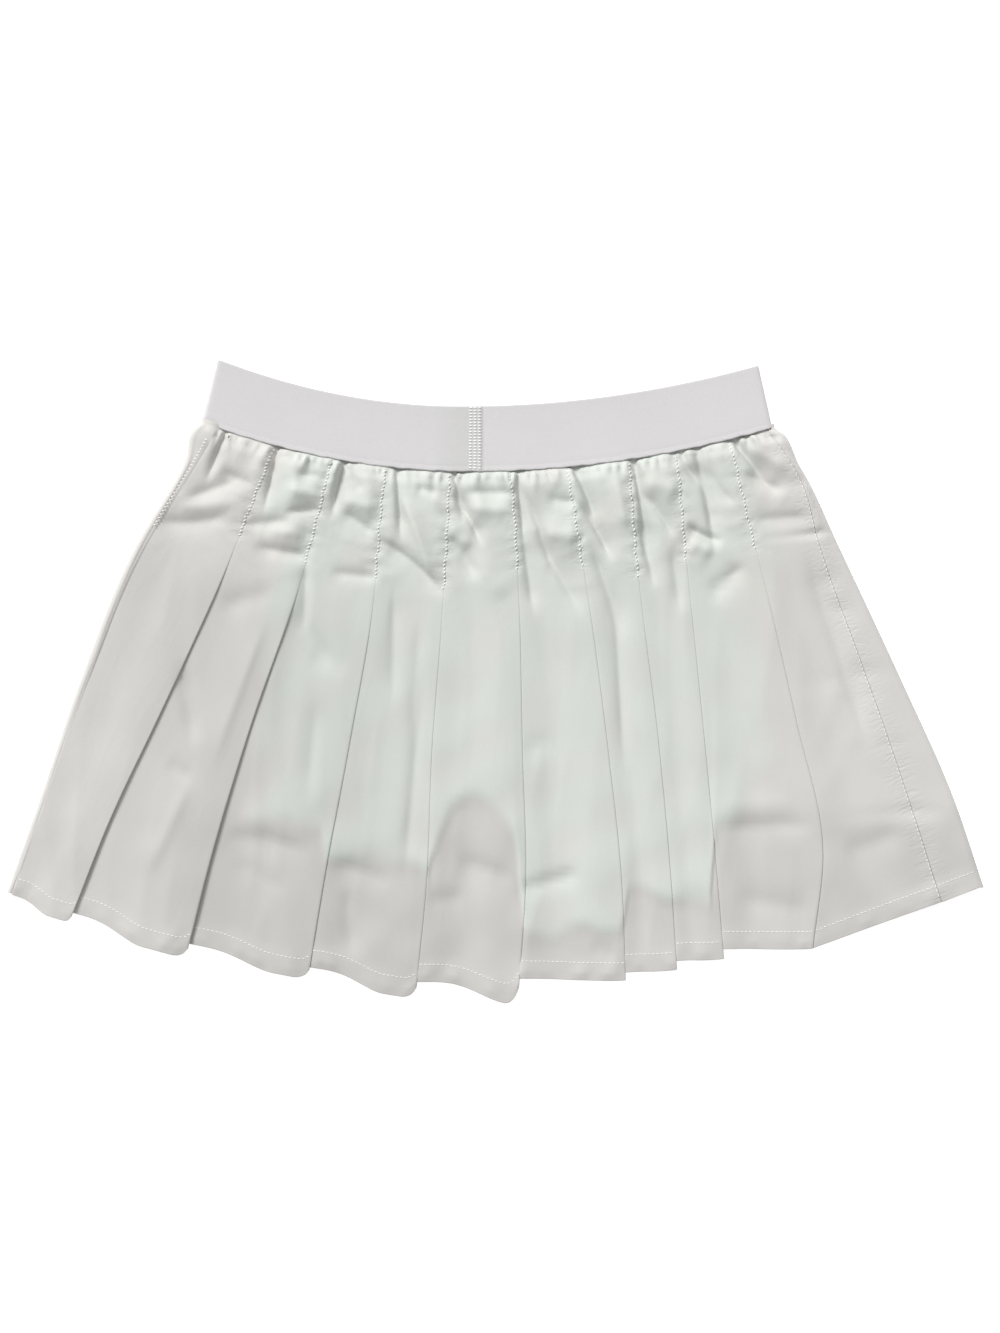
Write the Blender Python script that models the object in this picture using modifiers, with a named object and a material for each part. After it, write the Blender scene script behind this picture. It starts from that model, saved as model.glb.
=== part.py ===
"""Tennis skirt laid flat, back upwards: an elastic waistband, a back panel and a front panel.

The panels form one flattened tube. Knife pleats run all the way round it in one direction, so
they point to +X on top and to -X underneath. A section across the skirt is a polyline through
the middle of the cloth. Ten such sections, from the waist seam to the hem, make an open
surface, and a Solidify modifier gives it the thickness of the cloth.

Units are metres. +X runs along the hem, +Y towards the waist, +Z up from the table.
"""
import math
from collections import namedtuple

import bpy
import numpy as np

MM = 0.001

# Cloth
CLOTH_WALL = 1.0 * MM
ELASTIC_WALL = 1.5 * MM
# Seams are drawn this far apart along X or Y. Slanted and faceted edges come closer, and the
# nearest stay over 0.3 mm.
SEAM_GAP = 0.65 * MM
EDGE_DROP = 0.5 * MM
TUCK_STEP = 2.5 * MM

# Layers lie this far apart, middle to middle, at the waist and at the hem
PITCH_WAIST = 1.4 * MM
PITCH_HEM = 1.8 * MM

# Waistband: its two curved edges are parabolas about their lowest points
BAND_TOP_HALF = (-165.7 * MM, 156.8 * MM)
BAND_LOW_HALF = (-175.2 * MM, 165.1 * MM)
BAND_TOP_VERTEX = (-20.0 * MM, 163.0 * MM)
BAND_LOW_VERTEX = (-15.0 * MM, 123.8 * MM)
BAND_TOP_BEND = (1.32, 0.78)
BAND_LOW_BEND = (1.14, 0.80)
BAND_HEIGHT_TOP = 2.8 * MM
BAND_HEIGHT_SEAM = 5.6 * MM
BAND_COLUMNS = 18
BAND_ROWS = 3

# Sections, as shares of the way from the waist seam to the hem
ROWS = (0.0, 0.08, 0.18, 0.30, 0.43, 0.56, 0.69, 0.81, 0.92, 1.0)

# A line down the skirt is given by its X, in millimetres, at these shares of the way down
STATIONS = (0.0, 0.10, 0.25, 0.55, 0.80, 1.0)
LEFT_EDGE = (-175.2, -190.0, -213.5, -248.0, -272.0, -291.8)
RIGHT_EDGE = (165.1, 184.0, 204.0, 242.5, 273.0, 291.6)
LEFT_TUCK = (-166.5, -181.0, -205.0, -240.0, -264.0, -284.0)
RIGHT_SEAM = (157.5, 176.5, 194.0, 224.0, 248.0, 266.0)
LEFT_SEAM = (-166.0, -180.0, -201.0, -230.0, -250.0, -266.0)

# Knife pleats of the back. The six columns from "waist" to "hem" are the fold's X at STATIONS,
# "hem_y" is the Y of the hem at the fold, "next_y" the Y of the hem where the next pleat comes
# out from under it, "droop" how far the hem hangs below a straight line across the pleat, and
# "roll" the radius of the fold at the hem, all in millimetres. "peak" is where the hem hangs
# lowest, as a share of the pleat's width.
Pleat = namedtuple("Pleat", "waist top yoke middle low hem hem_y next_y droop peak roll")
BACK_PLEATS = (
    Pleat(-131, -142, -159, -197, -230, -252.5, -139.5, -139.5, 6.0, 0.60, 2.2),
    Pleat(-97, -104, -116, -146, -168, -183.0, -158.0, -158.0, 9.0, 0.60, 2.6),
    Pleat(-65, -68, -72, -87, -101, -111.0, -172.0, -172.0, 7.5, 0.70, 2.0),
    Pleat(-27, -28, -31, -38, -41, -47.0, -181.5, -180.5, 9.0, 0.70, 3.6),
    Pleat(9, 12, 14, 16, 18, 14.0, -180.5, -178.5, 13.0, 0.93, 3.0),
    Pleat(43, 48, 55, 67, 75, 77.5, -179.5, -175.0, 0.5, 0.60, 1.5),
    Pleat(80, 82, 86, 97, 104, 108.0, -173.0, -168.0, 0.5, 0.60, 1.3),
    Pleat(108, 111, 115, 124, 131, 136.0, -166.5, -161.0, 0.5, 0.60, 1.2),
    Pleat(140, 147, 158, 179, 195, 189.0, -160.5, -160.5, 0.5, 0.60, 1.4),
)

# The droop turns its corner past this share of the pleat's width, and fades round the fold
DROOP_CORNER = 0.85
ROLL_DROOP = (0.60, 0.25, 0.10, 0.0)
DROOP_POWER = 3
LEFT_HEM_Y = -128.0
TUCK_HEM_Y = -130.5
RIGHT_SEAM_HEM_Y = -133.0
RIGHT_HEM_Y = -124.5

# A back pleat is folded under by its depth, and its face clears the hidden inner fold. Its fold
# starts to roll at this share of the way down.
BACK_DEPTH_WAIST = 14.0 * MM
BACK_DEPTH_HEM = 12.0 * MM
INNER_CLEARANCE = 3.0 * MM
ROLL_START = 0.15

# Knife pleats of the front, evenly spaced, with a plain curved hem a little shorter than the back
FRONT_PLEATS = 8
FRONT_DEPTH = 12.0 * MM
FRONT_HEM_LOWEST = -168.0 * MM
FRONT_HEM_RISE = 43.0 * MM
FRONT_HEM_POWER = 1.8
FRONT_HEM_HALF = 291.0 * MM
FRONT_CLIMB = 0.30

# Where a section has its points, as shares of a face's width, and the steps of its folds
FACE_SHARES = (0.0, 0.28, 0.52, 0.74)
SEAM_FACE_SHARES = (0.0, 0.30, 0.65, 1.0)
FRONT_FACE_SHARES = (0.0, 0.12, 0.30)
OUTER_STEPS = 4
INNER_STEPS = 2
UP = math.pi / 2
DOWN = -math.pi / 2

WHITE_CLOTH = (0.86, 0.87, 0.84, 1.0)
WHITE_ELASTIC = (0.87, 0.86, 0.88, 1.0)


def mix(a, b, share):
    """A value the given share of the way from a to b."""
    return a + (b - a) * share


def smooth(share):
    """A share eased in and out, and held at its ends."""
    share = min(max(share, 0.0), 1.0)
    return share * share * (3.0 - 2.0 * share)


def line_x(places, down):
    """X, in metres, of a line down the skirt: a smooth curve through its X at STATIONS."""
    at = np.array(STATIONS)
    x = np.array(places, float)
    slopes = np.gradient(x, at)
    i = min(max(int(np.searchsorted(at, down)) - 1, 0), len(at) - 2)
    span = at[i + 1] - at[i]
    s = (down - at[i]) / span
    start = (1 + 2 * s) * (1 - s) ** 2 * x[i] + s * (1 - s) ** 2 * span * slopes[i]
    end = s * s * (3 - 2 * s) * x[i + 1] + s * s * (s - 1) * span * slopes[i + 1]
    return float(start + end) * MM


def edge_y(x, vertex, bend):
    """Y of a band edge: a parabola about its lowest point, with its own bend on each side."""
    offset = x - vertex[0]
    return vertex[1] + bend[0 if offset < 0 else 1] * offset * offset


def waist_y(x):
    """Y of the panels' top edge, one seam gap below the waistband."""
    return edge_y(x, BAND_LOW_VERTEX, BAND_LOW_BEND) - SEAM_GAP


def row_y(waist_x, hem_y, down):
    """Y of a point on a thread that starts at waist_x and ends at hem_y."""
    return mix(waist_y(waist_x), hem_y, down)


def pitch(down):
    return mix(PITCH_WAIST, PITCH_HEM, down)


def face_level():
    """Height of the layer that lies on the table, at its middle."""
    return CLOTH_WALL / 2


def back_level(down):
    """Height of the lowest layer of the back, above the three layers of the front."""
    return face_level() + 3 * pitch(down)


def seam_level(down):
    """Height of the cloth at the right side seam."""
    return back_level(down) + pitch(down)


def turn(centre_x, centre_z, radius, start, steps, sweep):
    """Points of a fold seen along the skirt: an arc about its centre, as (x, z) pairs."""
    angles = [start + sweep * k / steps for k in range(steps + 1)]
    return [(centre_x + radius * math.cos(a), centre_z + radius * math.sin(a)) for a in angles]


def fold_to_right(edge_x, low_z, radius):
    """A fold with its edge at edge_x, drawn from its top layer round +X to its lower layer."""
    return turn(edge_x - radius, low_z + radius, radius, UP, OUTER_STEPS, -math.pi)


def fold_to_left(edge_x, low_z, radius):
    """A fold with its edge at edge_x, drawn from its lower layer round -X to its top layer."""
    return turn(edge_x + radius, low_z + radius, radius, DOWN, OUTER_STEPS, -math.pi)


def pleat_x(pleat, down):
    """X of a pleat's fold at a share of the way down."""
    return line_x((pleat.waist, pleat.top, pleat.yoke, pleat.middle, pleat.low, pleat.hem), down)


def hem_droop(pleat, share, down):
    """How far a row hangs at a share of the pleat's width: eased in, then a round corner."""
    corner = max(share - DROOP_CORNER, 0.0) / (1.0 - DROOP_CORNER)
    hang = smooth(share / pleat.peak) ** 2 * math.sqrt(1.0 - corner * corner)
    return pleat.droop * MM * hang * down ** DROOP_POWER


def edge_row_y(offset, places, hem_y, down):
    """Y of a point on a side edge, the given offset in from the line of the edge."""
    return row_y(places[0] * MM + offset, hem_y * MM, down) - EDGE_DROP


def left_edge_points(down):
    """The back's cloth from the left side seam underneath, round the edge, to the tuck beside it."""
    top = back_level(down) + 2 * pitch(down)
    left = line_x(LEFT_EDGE, down)
    seam = line_x(LEFT_SEAM, down) - SEAM_GAP / 2
    points = [front_thread(seam, face_level(), 1.0, 0.0, down)]
    for x, z in fold_to_left(left, face_level(), (top - face_level()) / 2):
        points.append((x, edge_row_y(x - left, LEFT_EDGE, LEFT_HEM_Y, down), z))
    points.append((line_x(LEFT_TUCK, down), row_y(LEFT_TUCK[0] * MM, TUCK_HEM_Y * MM, down), top))
    return points


def pleat_points(pleat, start_x, start_waist, start_hem, down):
    """One pleat: its face from under the fold before it, its fold, and its hidden inner fold.

    The face starts at start_x, on the thread from start_waist to start_hem, on the back's lowest
    layer. It climbs over the hidden inner fold, then onto its own fold.
    """
    low = back_level(down)
    gap = pitch(down)
    depth = mix(BACK_DEPTH_WAIST, BACK_DEPTH_HEM, down)
    fold = pleat_x(pleat, down)
    waist_x = pleat.waist * MM
    radius = max(gap / 2, pleat.roll * MM * smooth((down - ROLL_START) / (1.0 - ROLL_START)))
    width = fold - start_x
    climb_share = (width - depth - INNER_CLEARANCE) / width
    fold_share = 1.0 - radius / width
    points = []
    for share in FACE_SHARES + (fold_share,):
        rise = 2 * gap * smooth(share / climb_share) + (2 * radius - gap) * smooth(share)
        hem = mix(start_hem, pleat.hem_y * MM, share)
        y = row_y(mix(start_waist, waist_x, share), hem, down) - hem_droop(pleat, share, down)
        points.append((start_x + width * share, y, low + rise))

    hang = hem_droop(pleat, fold_share, down)
    for (x, z), kept in zip(fold_to_right(fold, low + gap, radius)[1:], ROLL_DROOP):
        y = row_y(waist_x + x - fold, pleat.hem_y * MM, down) - hang * kept
        points.append((x, y, z))

    inner = fold - depth
    hidden_hem = mix(pleat.hem_y, pleat.next_y, 0.5) * MM
    for x, z in turn(inner + gap / 2, low + gap / 2, gap / 2, UP, INNER_STEPS, math.pi):
        points.append((x, row_y(waist_x + x - fold, hidden_hem, down), z))
    return points


def seam_face_points(down):
    """The back's last face, from under the last fold up to the right side seam."""
    last = BACK_PLEATS[-1]
    low = back_level(down)
    fold = pleat_x(last, down)
    seam = line_x(RIGHT_SEAM, down) - SEAM_GAP / 2
    points = []
    for share in SEAM_FACE_SHARES:
        hem = mix(last.next_y, RIGHT_SEAM_HEM_Y, share) * MM
        y = row_y(mix(last.waist, RIGHT_SEAM[0], share) * MM, hem, down)
        points.append((mix(fold, seam, share), y, mix(low, seam_level(down), smooth(share))))
    return points


def back_section(down):
    """Points across the back: under the left side, round its edge, over the pleats, to the seam."""
    points = left_edge_points(down)
    start_x = line_x(LEFT_TUCK, down) + TUCK_STEP
    start_waist = LEFT_TUCK[0] * MM + TUCK_STEP
    start_hem = TUCK_HEM_Y * MM
    for pleat in BACK_PLEATS:
        points += pleat_points(pleat, start_x, start_waist, start_hem, down)
        start_x = pleat_x(pleat, down)
        start_waist = pleat.waist * MM
        start_hem = pleat.next_y * MM
    return points + seam_face_points(down)


def front_hem_y(x):
    """Y of the front's hem: a flat curve that climbs to both sides."""
    return FRONT_HEM_LOWEST + FRONT_HEM_RISE * abs(x / FRONT_HEM_HALF) ** FRONT_HEM_POWER


def front_thread(x, z, across, offset, down):
    """A point of the front, offset from the thread a share of the way to the left side seam."""
    waist_x = mix(RIGHT_EDGE[0], LEFT_SEAM[0], across) * MM + offset
    hem_x = mix(RIGHT_EDGE[-1], LEFT_SEAM[-1], across) * MM
    return (x, row_y(waist_x, front_hem_y(hem_x), down), z)


def front_face_points(start, end, start_x, end_x, down):
    """A face of the front, down from inside onto the table and along it, between two shares.

    The first face comes round the right edge, so it lies on the table from its start.
    """
    points = []
    for share in FRONT_FACE_SHARES:
        if start == 0.0 and share < FRONT_CLIMB:
            continue
        climb = 0.0 if start == 0.0 else 1.0 - smooth(share / FRONT_CLIMB)
        z = face_level() + 2 * pitch(down) * climb
        points.append(front_thread(mix(start_x, end_x, share), z, mix(start, end, share), 0.0, down))
    return points


def front_section(down):
    """Points across the front: from the right side seam, round the right edge, and underneath."""
    gap = pitch(down)
    right = line_x(RIGHT_EDGE, down)
    left = line_x(LEFT_SEAM, down) + SEAM_GAP / 2
    seam = line_x(RIGHT_SEAM, down) + SEAM_GAP / 2
    top = seam_level(down)
    points = [(seam, row_y(RIGHT_SEAM[0] * MM, RIGHT_SEAM_HEM_Y * MM, down), top)]
    for x, z in fold_to_right(right, face_level(), (top - face_level()) / 2):
        points.append((x, edge_row_y(x - right, RIGHT_EDGE, RIGHT_HEM_Y, down), z))

    start = 0.0
    for number in range(1, FRONT_PLEATS + 1):
        end = number / (FRONT_PLEATS + 1)
        fold = mix(right, left, end)
        points += front_face_points(start, end, mix(right, left, start), fold, down)
        outer = turn(fold + gap / 2, face_level() + gap / 2, gap / 2, DOWN, INNER_STEPS, -math.pi)
        inner_x = fold + FRONT_DEPTH - gap / 2
        inner = turn(inner_x, face_level() + 1.5 * gap, gap / 2, DOWN, INNER_STEPS, math.pi)
        for x, z in outer + inner:
            points.append(front_thread(x, z, end, x - fold, down))
        start = end
    points += front_face_points(start, 1.0, mix(right, left, start), left, down)
    points.append(front_thread(left, face_level(), 1.0, 0.0, down))
    return points


def band_section(down):
    """Points round the waistband at a share of its height below its top edge."""
    height = mix(BAND_HEIGHT_TOP, BAND_HEIGHT_SEAM, down)
    bottom = ELASTIC_WALL / 2
    radius = (height - bottom) / 2
    left = mix(BAND_TOP_HALF[0], BAND_LOW_HALF[0], down)
    right = mix(BAND_TOP_HALF[1], BAND_LOW_HALF[1], down)
    across = [mix(left + radius, right - radius, k / BAND_COLUMNS) for k in range(BAND_COLUMNS + 1)]
    ring = [(x, height) for x in across]
    ring += fold_to_right(right, bottom, radius)[1:-1]
    ring += [(x, bottom) for x in reversed(across)]
    ring += fold_to_left(left, bottom, radius)[1:-1]
    points = []
    for x, z in ring:
        top_y = edge_y(x, BAND_TOP_VERTEX, BAND_TOP_BEND)
        low_y = edge_y(x, BAND_LOW_VERTEX, BAND_LOW_BEND)
        points.append((x, mix(top_y, low_y, down), z))
    return points


def loft(name, sections, wall, closed, material, collection):
    """A sheet through the sections, as an object with a Solidify modifier for its wall."""
    rows = len(sections)
    columns = len(sections[0])
    spans = columns if closed else columns - 1
    vertices = [point for section in sections for point in section]
    faces = []
    for r in range(rows - 1):
        for c in range(spans):
            d = (c + 1) % columns
            faces.append((r * columns + c, (r + 1) * columns + c,
                          (r + 1) * columns + d, r * columns + d))
    mesh = bpy.data.meshes.new(name)
    mesh.from_pydata(vertices, [], faces)
    mesh.materials.append(material)
    sheet = bpy.data.objects.new(name, mesh)
    collection.objects.link(sheet)
    solid = sheet.modifiers.new("Cloth thickness", "SOLIDIFY")
    solid.thickness = wall
    solid.offset = 0.0
    solid.use_even_offset = True
    mesh.shade_smooth()
    return sheet


def cloth_material(name, colour, roughness):
    material = bpy.data.materials.new(name)
    material.use_nodes = True
    shader = material.node_tree.nodes["Principled BSDF"]
    shader.inputs["Base Color"].default_value = colour
    shader.inputs["Roughness"].default_value = roughness
    shader.inputs["Metallic"].default_value = 0.0
    return material


def make_waistband(collection):
    material = cloth_material("white_elastic", WHITE_ELASTIC, 0.85)
    sections = [band_section(k / (BAND_ROWS - 1)) for k in range(BAND_ROWS)]
    return loft("waistband", sections, ELASTIC_WALL, True, material, collection)


def make_back_panel(collection):
    material = cloth_material("white_back_cloth", WHITE_CLOTH, 0.7)
    return loft("back_panel", [back_section(v) for v in ROWS], CLOTH_WALL, False, material, collection)


def make_front_panel(collection):
    material = cloth_material("white_front_cloth", WHITE_CLOTH, 0.7)
    return loft("front_panel", [front_section(v) for v in ROWS], CLOTH_WALL, False, material, collection)


def main():
    for old in list(bpy.data.objects):
        bpy.data.objects.remove(old, do_unlink=True)
    collection = bpy.data.collections.new("tennis_skirt")
    bpy.context.scene.collection.children.link(collection)
    make_waistband(collection)
    make_back_panel(collection)
    make_front_panel(collection)


main()
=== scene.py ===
"""Looks of a tennis skirt laid flat, back upwards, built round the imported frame.

The cloth is one flattened tube of knife pleats under an elastic waistband. Each panel is a
surface worked out from its sections: a row of points across the skirt for each height between
the waist seam and the hem. Lengths in the tables are millimetres of the finished skirt, with X
to the right, Y towards the waist and the origin under the middle of the skirt.
"""
import math
from collections import namedtuple

import bpy
import numpy as np
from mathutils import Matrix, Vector


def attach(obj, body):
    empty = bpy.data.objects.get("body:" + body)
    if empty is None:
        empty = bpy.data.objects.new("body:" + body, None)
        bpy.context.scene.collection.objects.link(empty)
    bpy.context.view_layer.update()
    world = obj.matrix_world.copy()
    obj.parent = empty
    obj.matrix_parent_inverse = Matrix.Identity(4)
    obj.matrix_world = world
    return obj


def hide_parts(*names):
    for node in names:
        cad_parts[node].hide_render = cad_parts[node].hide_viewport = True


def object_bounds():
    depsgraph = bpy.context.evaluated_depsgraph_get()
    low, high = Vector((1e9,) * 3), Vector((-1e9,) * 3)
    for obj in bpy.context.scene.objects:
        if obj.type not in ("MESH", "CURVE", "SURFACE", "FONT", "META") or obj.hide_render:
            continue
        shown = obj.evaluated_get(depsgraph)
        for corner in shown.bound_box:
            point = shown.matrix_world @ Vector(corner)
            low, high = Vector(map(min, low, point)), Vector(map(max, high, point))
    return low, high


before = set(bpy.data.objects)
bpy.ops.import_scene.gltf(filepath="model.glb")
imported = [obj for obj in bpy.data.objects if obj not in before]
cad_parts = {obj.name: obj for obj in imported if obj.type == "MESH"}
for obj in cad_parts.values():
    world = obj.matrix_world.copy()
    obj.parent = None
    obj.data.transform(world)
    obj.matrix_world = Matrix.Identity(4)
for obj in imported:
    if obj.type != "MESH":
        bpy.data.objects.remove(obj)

bl_info = {
    "name": "Pleated tennis skirt",
    "version": (1, 0, 0),
    "blender": (4, 5, 0),
    "location": "3D View > Sidebar > Skirt",
    "description": "Makes a knife-pleated tennis skirt, laid flat, with its stitching and stage",
    "category": "Add Mesh",
}

CAD_LOW, CAD_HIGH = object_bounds()

# The tables are drawn for a skirt this wide at the hem, and follow the frame's real width
DRAWN_WIDTH = 584.4
MM = (CAD_HIGH.x - CAD_LOW.x) / DRAWN_WIDTH

# Waistband: its ends' X, and its edges as parabolas about their lowest points, with a bend
# (per millimetre) for each side
BAND_TOP = (-165.7, 156.8)
BAND_LOW = (-175.2, 165.1)
BAND_TOP_VERTEX = (-20.0, 163.0)
BAND_LOW_VERTEX = (-15.0, 123.8)
BAND_TOP_BEND = (0.00132, 0.00078)
BAND_LOW_BEND = (0.00114, 0.00080)
BAND_RISE_TOP = 3.0
BAND_RISE_SEAM = 5.7
BAND_HEIGHT = 40.0
BAND_RISE_POWER = 1.3
BAND_WAVE = {"size": 70.0, "height": 0.25, "seed": 8}
BAND_RIPPLE = 0.3
# The fine line beside the lower edge, as shares of the height, and its depth
SELVEDGE = 0.92
SELVEDGE_WIDTH = 0.012
SELVEDGE_DEPTH = 0.12
# The join, where the left end laps over the right one, with its slope and the run, in laps, of the
# painted shade that darkens the band to the left of it
JOIN_X = -8.4
JOIN_GAP = 0.1
JOIN_LAP = 9.5
JOIN_STEP = 0.2
JOIN_SLOPE = 2.2
JOIN_SHADE_START = 3.4
JOIN_SHADE_FADE = 2.4

# Lines down the skirt, given by their X at these shares of the way from the waist to the hem
STATIONS = np.array((0.0, 0.10, 0.25, 0.55, 0.80, 1.0))
LEFT_EDGE = (-175.6, -188.0, -213.0, -248.0, -272.0, -291.8)
RIGHT_EDGE = (166.5, 184.5, 204.0, 242.5, 273.0, 291.6)
LEFT_TUCK = (-165.0, -182.5, -208.5, -245.5, -270.5, -290.6)
RIGHT_SEAM = (162.0, 180.5, 193.5, 224.0, 248.0, 266.0)
LEFT_SEAM = (-166.0, -180.0, -201.0, -230.0, -250.0, -266.0)
LEFT_HEM_Y = -128.0
RIGHT_SEAM_HEM_Y = -133.0
RIGHT_HEM_Y = -124.5
LENGTH = 305.0
# How far the sides puff out under the band, and where below it they rise, crest and fall back
FLARE = 3.6
FLARE_RISE = 5.0
FLARE_CREST = 6.0
FLARE_FALL = 20.0
# The tuck beside the left edge: its height over the layer below, and the shares of the length
# over which its extra step goes flat
TUCK_RISE = 1.2
TUCK_STEP = 1.3
TUCK_FLAT_START = 0.45
TUCK_FLAT_RUN = 0.25
TUCK_STITCHED = 66.0

# Pleats of the back. "waist" to "hem" are the fold's X at STATIONS; "hem_y" and "next_y" are the
# hem's Y at the fold and where the next pleat comes out from under it; "droop" is how far the
# hem hangs between them, lowest at the share "peak" of the pleat's width; "roll" is the fold's
# radius at the hem; "lift" is how far the open fold's crest rises, and "gape" how open it stands
# from the cloth beside it, from 0 to 1; "stitched" is how far down the fold is sewn; "columns"
# is how many columns of points cross its face.
Pleat = namedtuple(
    "Pleat", "waist top yoke middle low hem hem_y next_y droop peak roll lift gape stitched columns")
BACK_PLEATS = (
    Pleat(-131, -142, -159, -197, -230, -252.5, -139.5, -139.5, 6.0, 0.60, 0.7, 1.0, 0.75, 59, 40),
    Pleat(-97, -104, -116, -146, -168, -183.0, -158.0, -158.0, 9.0, 0.60, 0.9, 0.8, 0.80, 66, 35),
    Pleat(-65, -68, -72, -87, -101, -111.0, -172.0, -172.0, 7.5, 0.70, 0.5, 0.6, 0.30, 68, 33),
    Pleat(-27, -28, -31, -38, -41, -47.0, -181.5, -180.5, 9.0, 0.70, 0.7, 1.8, 0.09, 70, 39),
    Pleat(9, 12, 14, 16, 18, 14.0, -180.5, -178.5, 13.0, 0.93, 0.7, 2.0, 0.12, 60, 37),
    Pleat(43, 48, 55, 67, 75, 77.5, -179.5, -175.0, 0.5, 0.60, 0.4, 1.8, 0.13, 60, 35),
    Pleat(80, 82, 86, 97, 104, 108.0, -173.0, -168.0, 0.5, 0.60, 0.4, 1.4, 0.16, 70, 35),
    Pleat(108, 111, 115, 124, 131, 136.0, -166.5, -161.0, 0.5, 0.60, 0.4, 1.4, 0.12, 66, 29),
    Pleat(140, 147, 158, 179, 195, 189.0, -160.5, -160.5, 0.5, 0.60, 0.5, 1.6, 0.18, 66, 33),
)
SIDE_COLUMNS = 30
DROOP_CORNER = 0.85
DEPTH_WAIST = 14.0
DEPTH_HEM = 12.0
FOLD_OPENING = 45.0
FOLD_STEP = 0.08
# Shares across a face: where it crests, where it dips to its fold and by how much of its lift,
# and where it has lost the height it starts with
FACE_CREST_START = 0.22
FACE_CREST_RUN = 0.60
FACE_DIP_START = 0.86
FACE_DIP_RUN = 0.14
FACE_DIP = 0.12
FACE_START_RUN = 0.45
FACE_CLIMB_SPARE = 2.0
# Height of one layer, and the shares of the length over which it loosens
LAYER_YOKE = 0.5
LAYER_HEM = 0.9
LAYER_LOOSENS = 0.18
LAYER_RUN = 0.75
SIDE_LAYERS = 1.6
BACK_BASE_WAIST = 4.8
BACK_BASE_HEM = 5.2
UNDER_ROOM = 0.8
SEAM_ALLOWANCE = 3.0
# At the side seam both panels dip a little, then turn down past each other
SEAM_DIP = 0.05
SEAM_TURN_DOWN = 2.0
SEAM_OVERLAP = 0.1
HEM_DEPTH = 10.5
HEM_TURN = 2.0
HEM_RISE = 0.25
CLOTH_WALL = 0.4
ELASTIC_WALL = 0.9

# Front panel, which is the underside: pleats of one depth, and a hem that climbs to both sides
FRONT_PLEATS = 8
FRONT_DEPTH = 12.0
FRONT_HEM_LOWEST = -168.0
FRONT_HEM_RISE = 43.0
FRONT_HEM_POWER = 1.8
FRONT_HEM_HALF = 291.0
FRONT_CLIMB = 0.22
FRONT_SEAM_GAP = 0.45
FRONT_EDGE_DROP = 0.4
FRONT_HOLLOWS = 0.7

# Rows of points: close down to the yoke's end, wider to the body's, then to the hem's own rows,
# all but the last of which stop a little short of its edge
YOKE_ROWS = 47
YOKE_ROWS_END = 80.0
BODY_ROWS = 27
BODY_ROWS_END = 200.0
LOW_ROWS = 26
HEM_ROWS = 6
HEM_ROWS_DEPTH = 14.0
HEM_ROWS_SHORT = 0.4

# Lower edge of the paler layer inside, a row for each face it shows through: the X and Y of its
# two ends there, and how far it arches up between them
InnerEdge = namedtuple("InnerEdge", "left left_y right right_y arch")
INNER_EDGES = (
    InnerEdge(-170, -92, -104, -96, 0),
    InnerEdge(-100, -112, -46, -120, 0),
    InnerEdge(-40, -122, 13, -112, 38),
    InnerEdge(18, -158, 74, -156, 0),
    InnerEdge(80, -134, 128, -138, 0),
    InnerEdge(131, -94, 186, -94, 0),
)
INNER_LEFT = -150.0
INNER_RIGHT = 172.0
INNER_STEP = 1.5
INNER_STEP_REACH = 60.0
INNER_SEED = 21

# Tones across the skirt, set by trial from renders: "body" is painted shade, the brightness the
# cloth is drawn with under the yoke, and "dull" is how much duller it is under the inner layer's edge
Tone = namedtuple("Tone", "x body dull")
PAINTED_SHADE_AND_DULL_TONES = (
    Tone(-290, 0.98, 0.03),
    Tone(-225, 0.97, 0.03),
    Tone(-185, 0.89, 0.03),
    Tone(-135, 0.90, 0.04),
    Tone(-65, 0.94, 0.10),
    Tone(-20, 0.99, 0.10),
    Tone(20, 0.99, 0.10),
    Tone(60, 0.99, 0.07),
    Tone(190, 0.99, 0.09),
    Tone(290, 0.99, 0.09),
)
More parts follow.
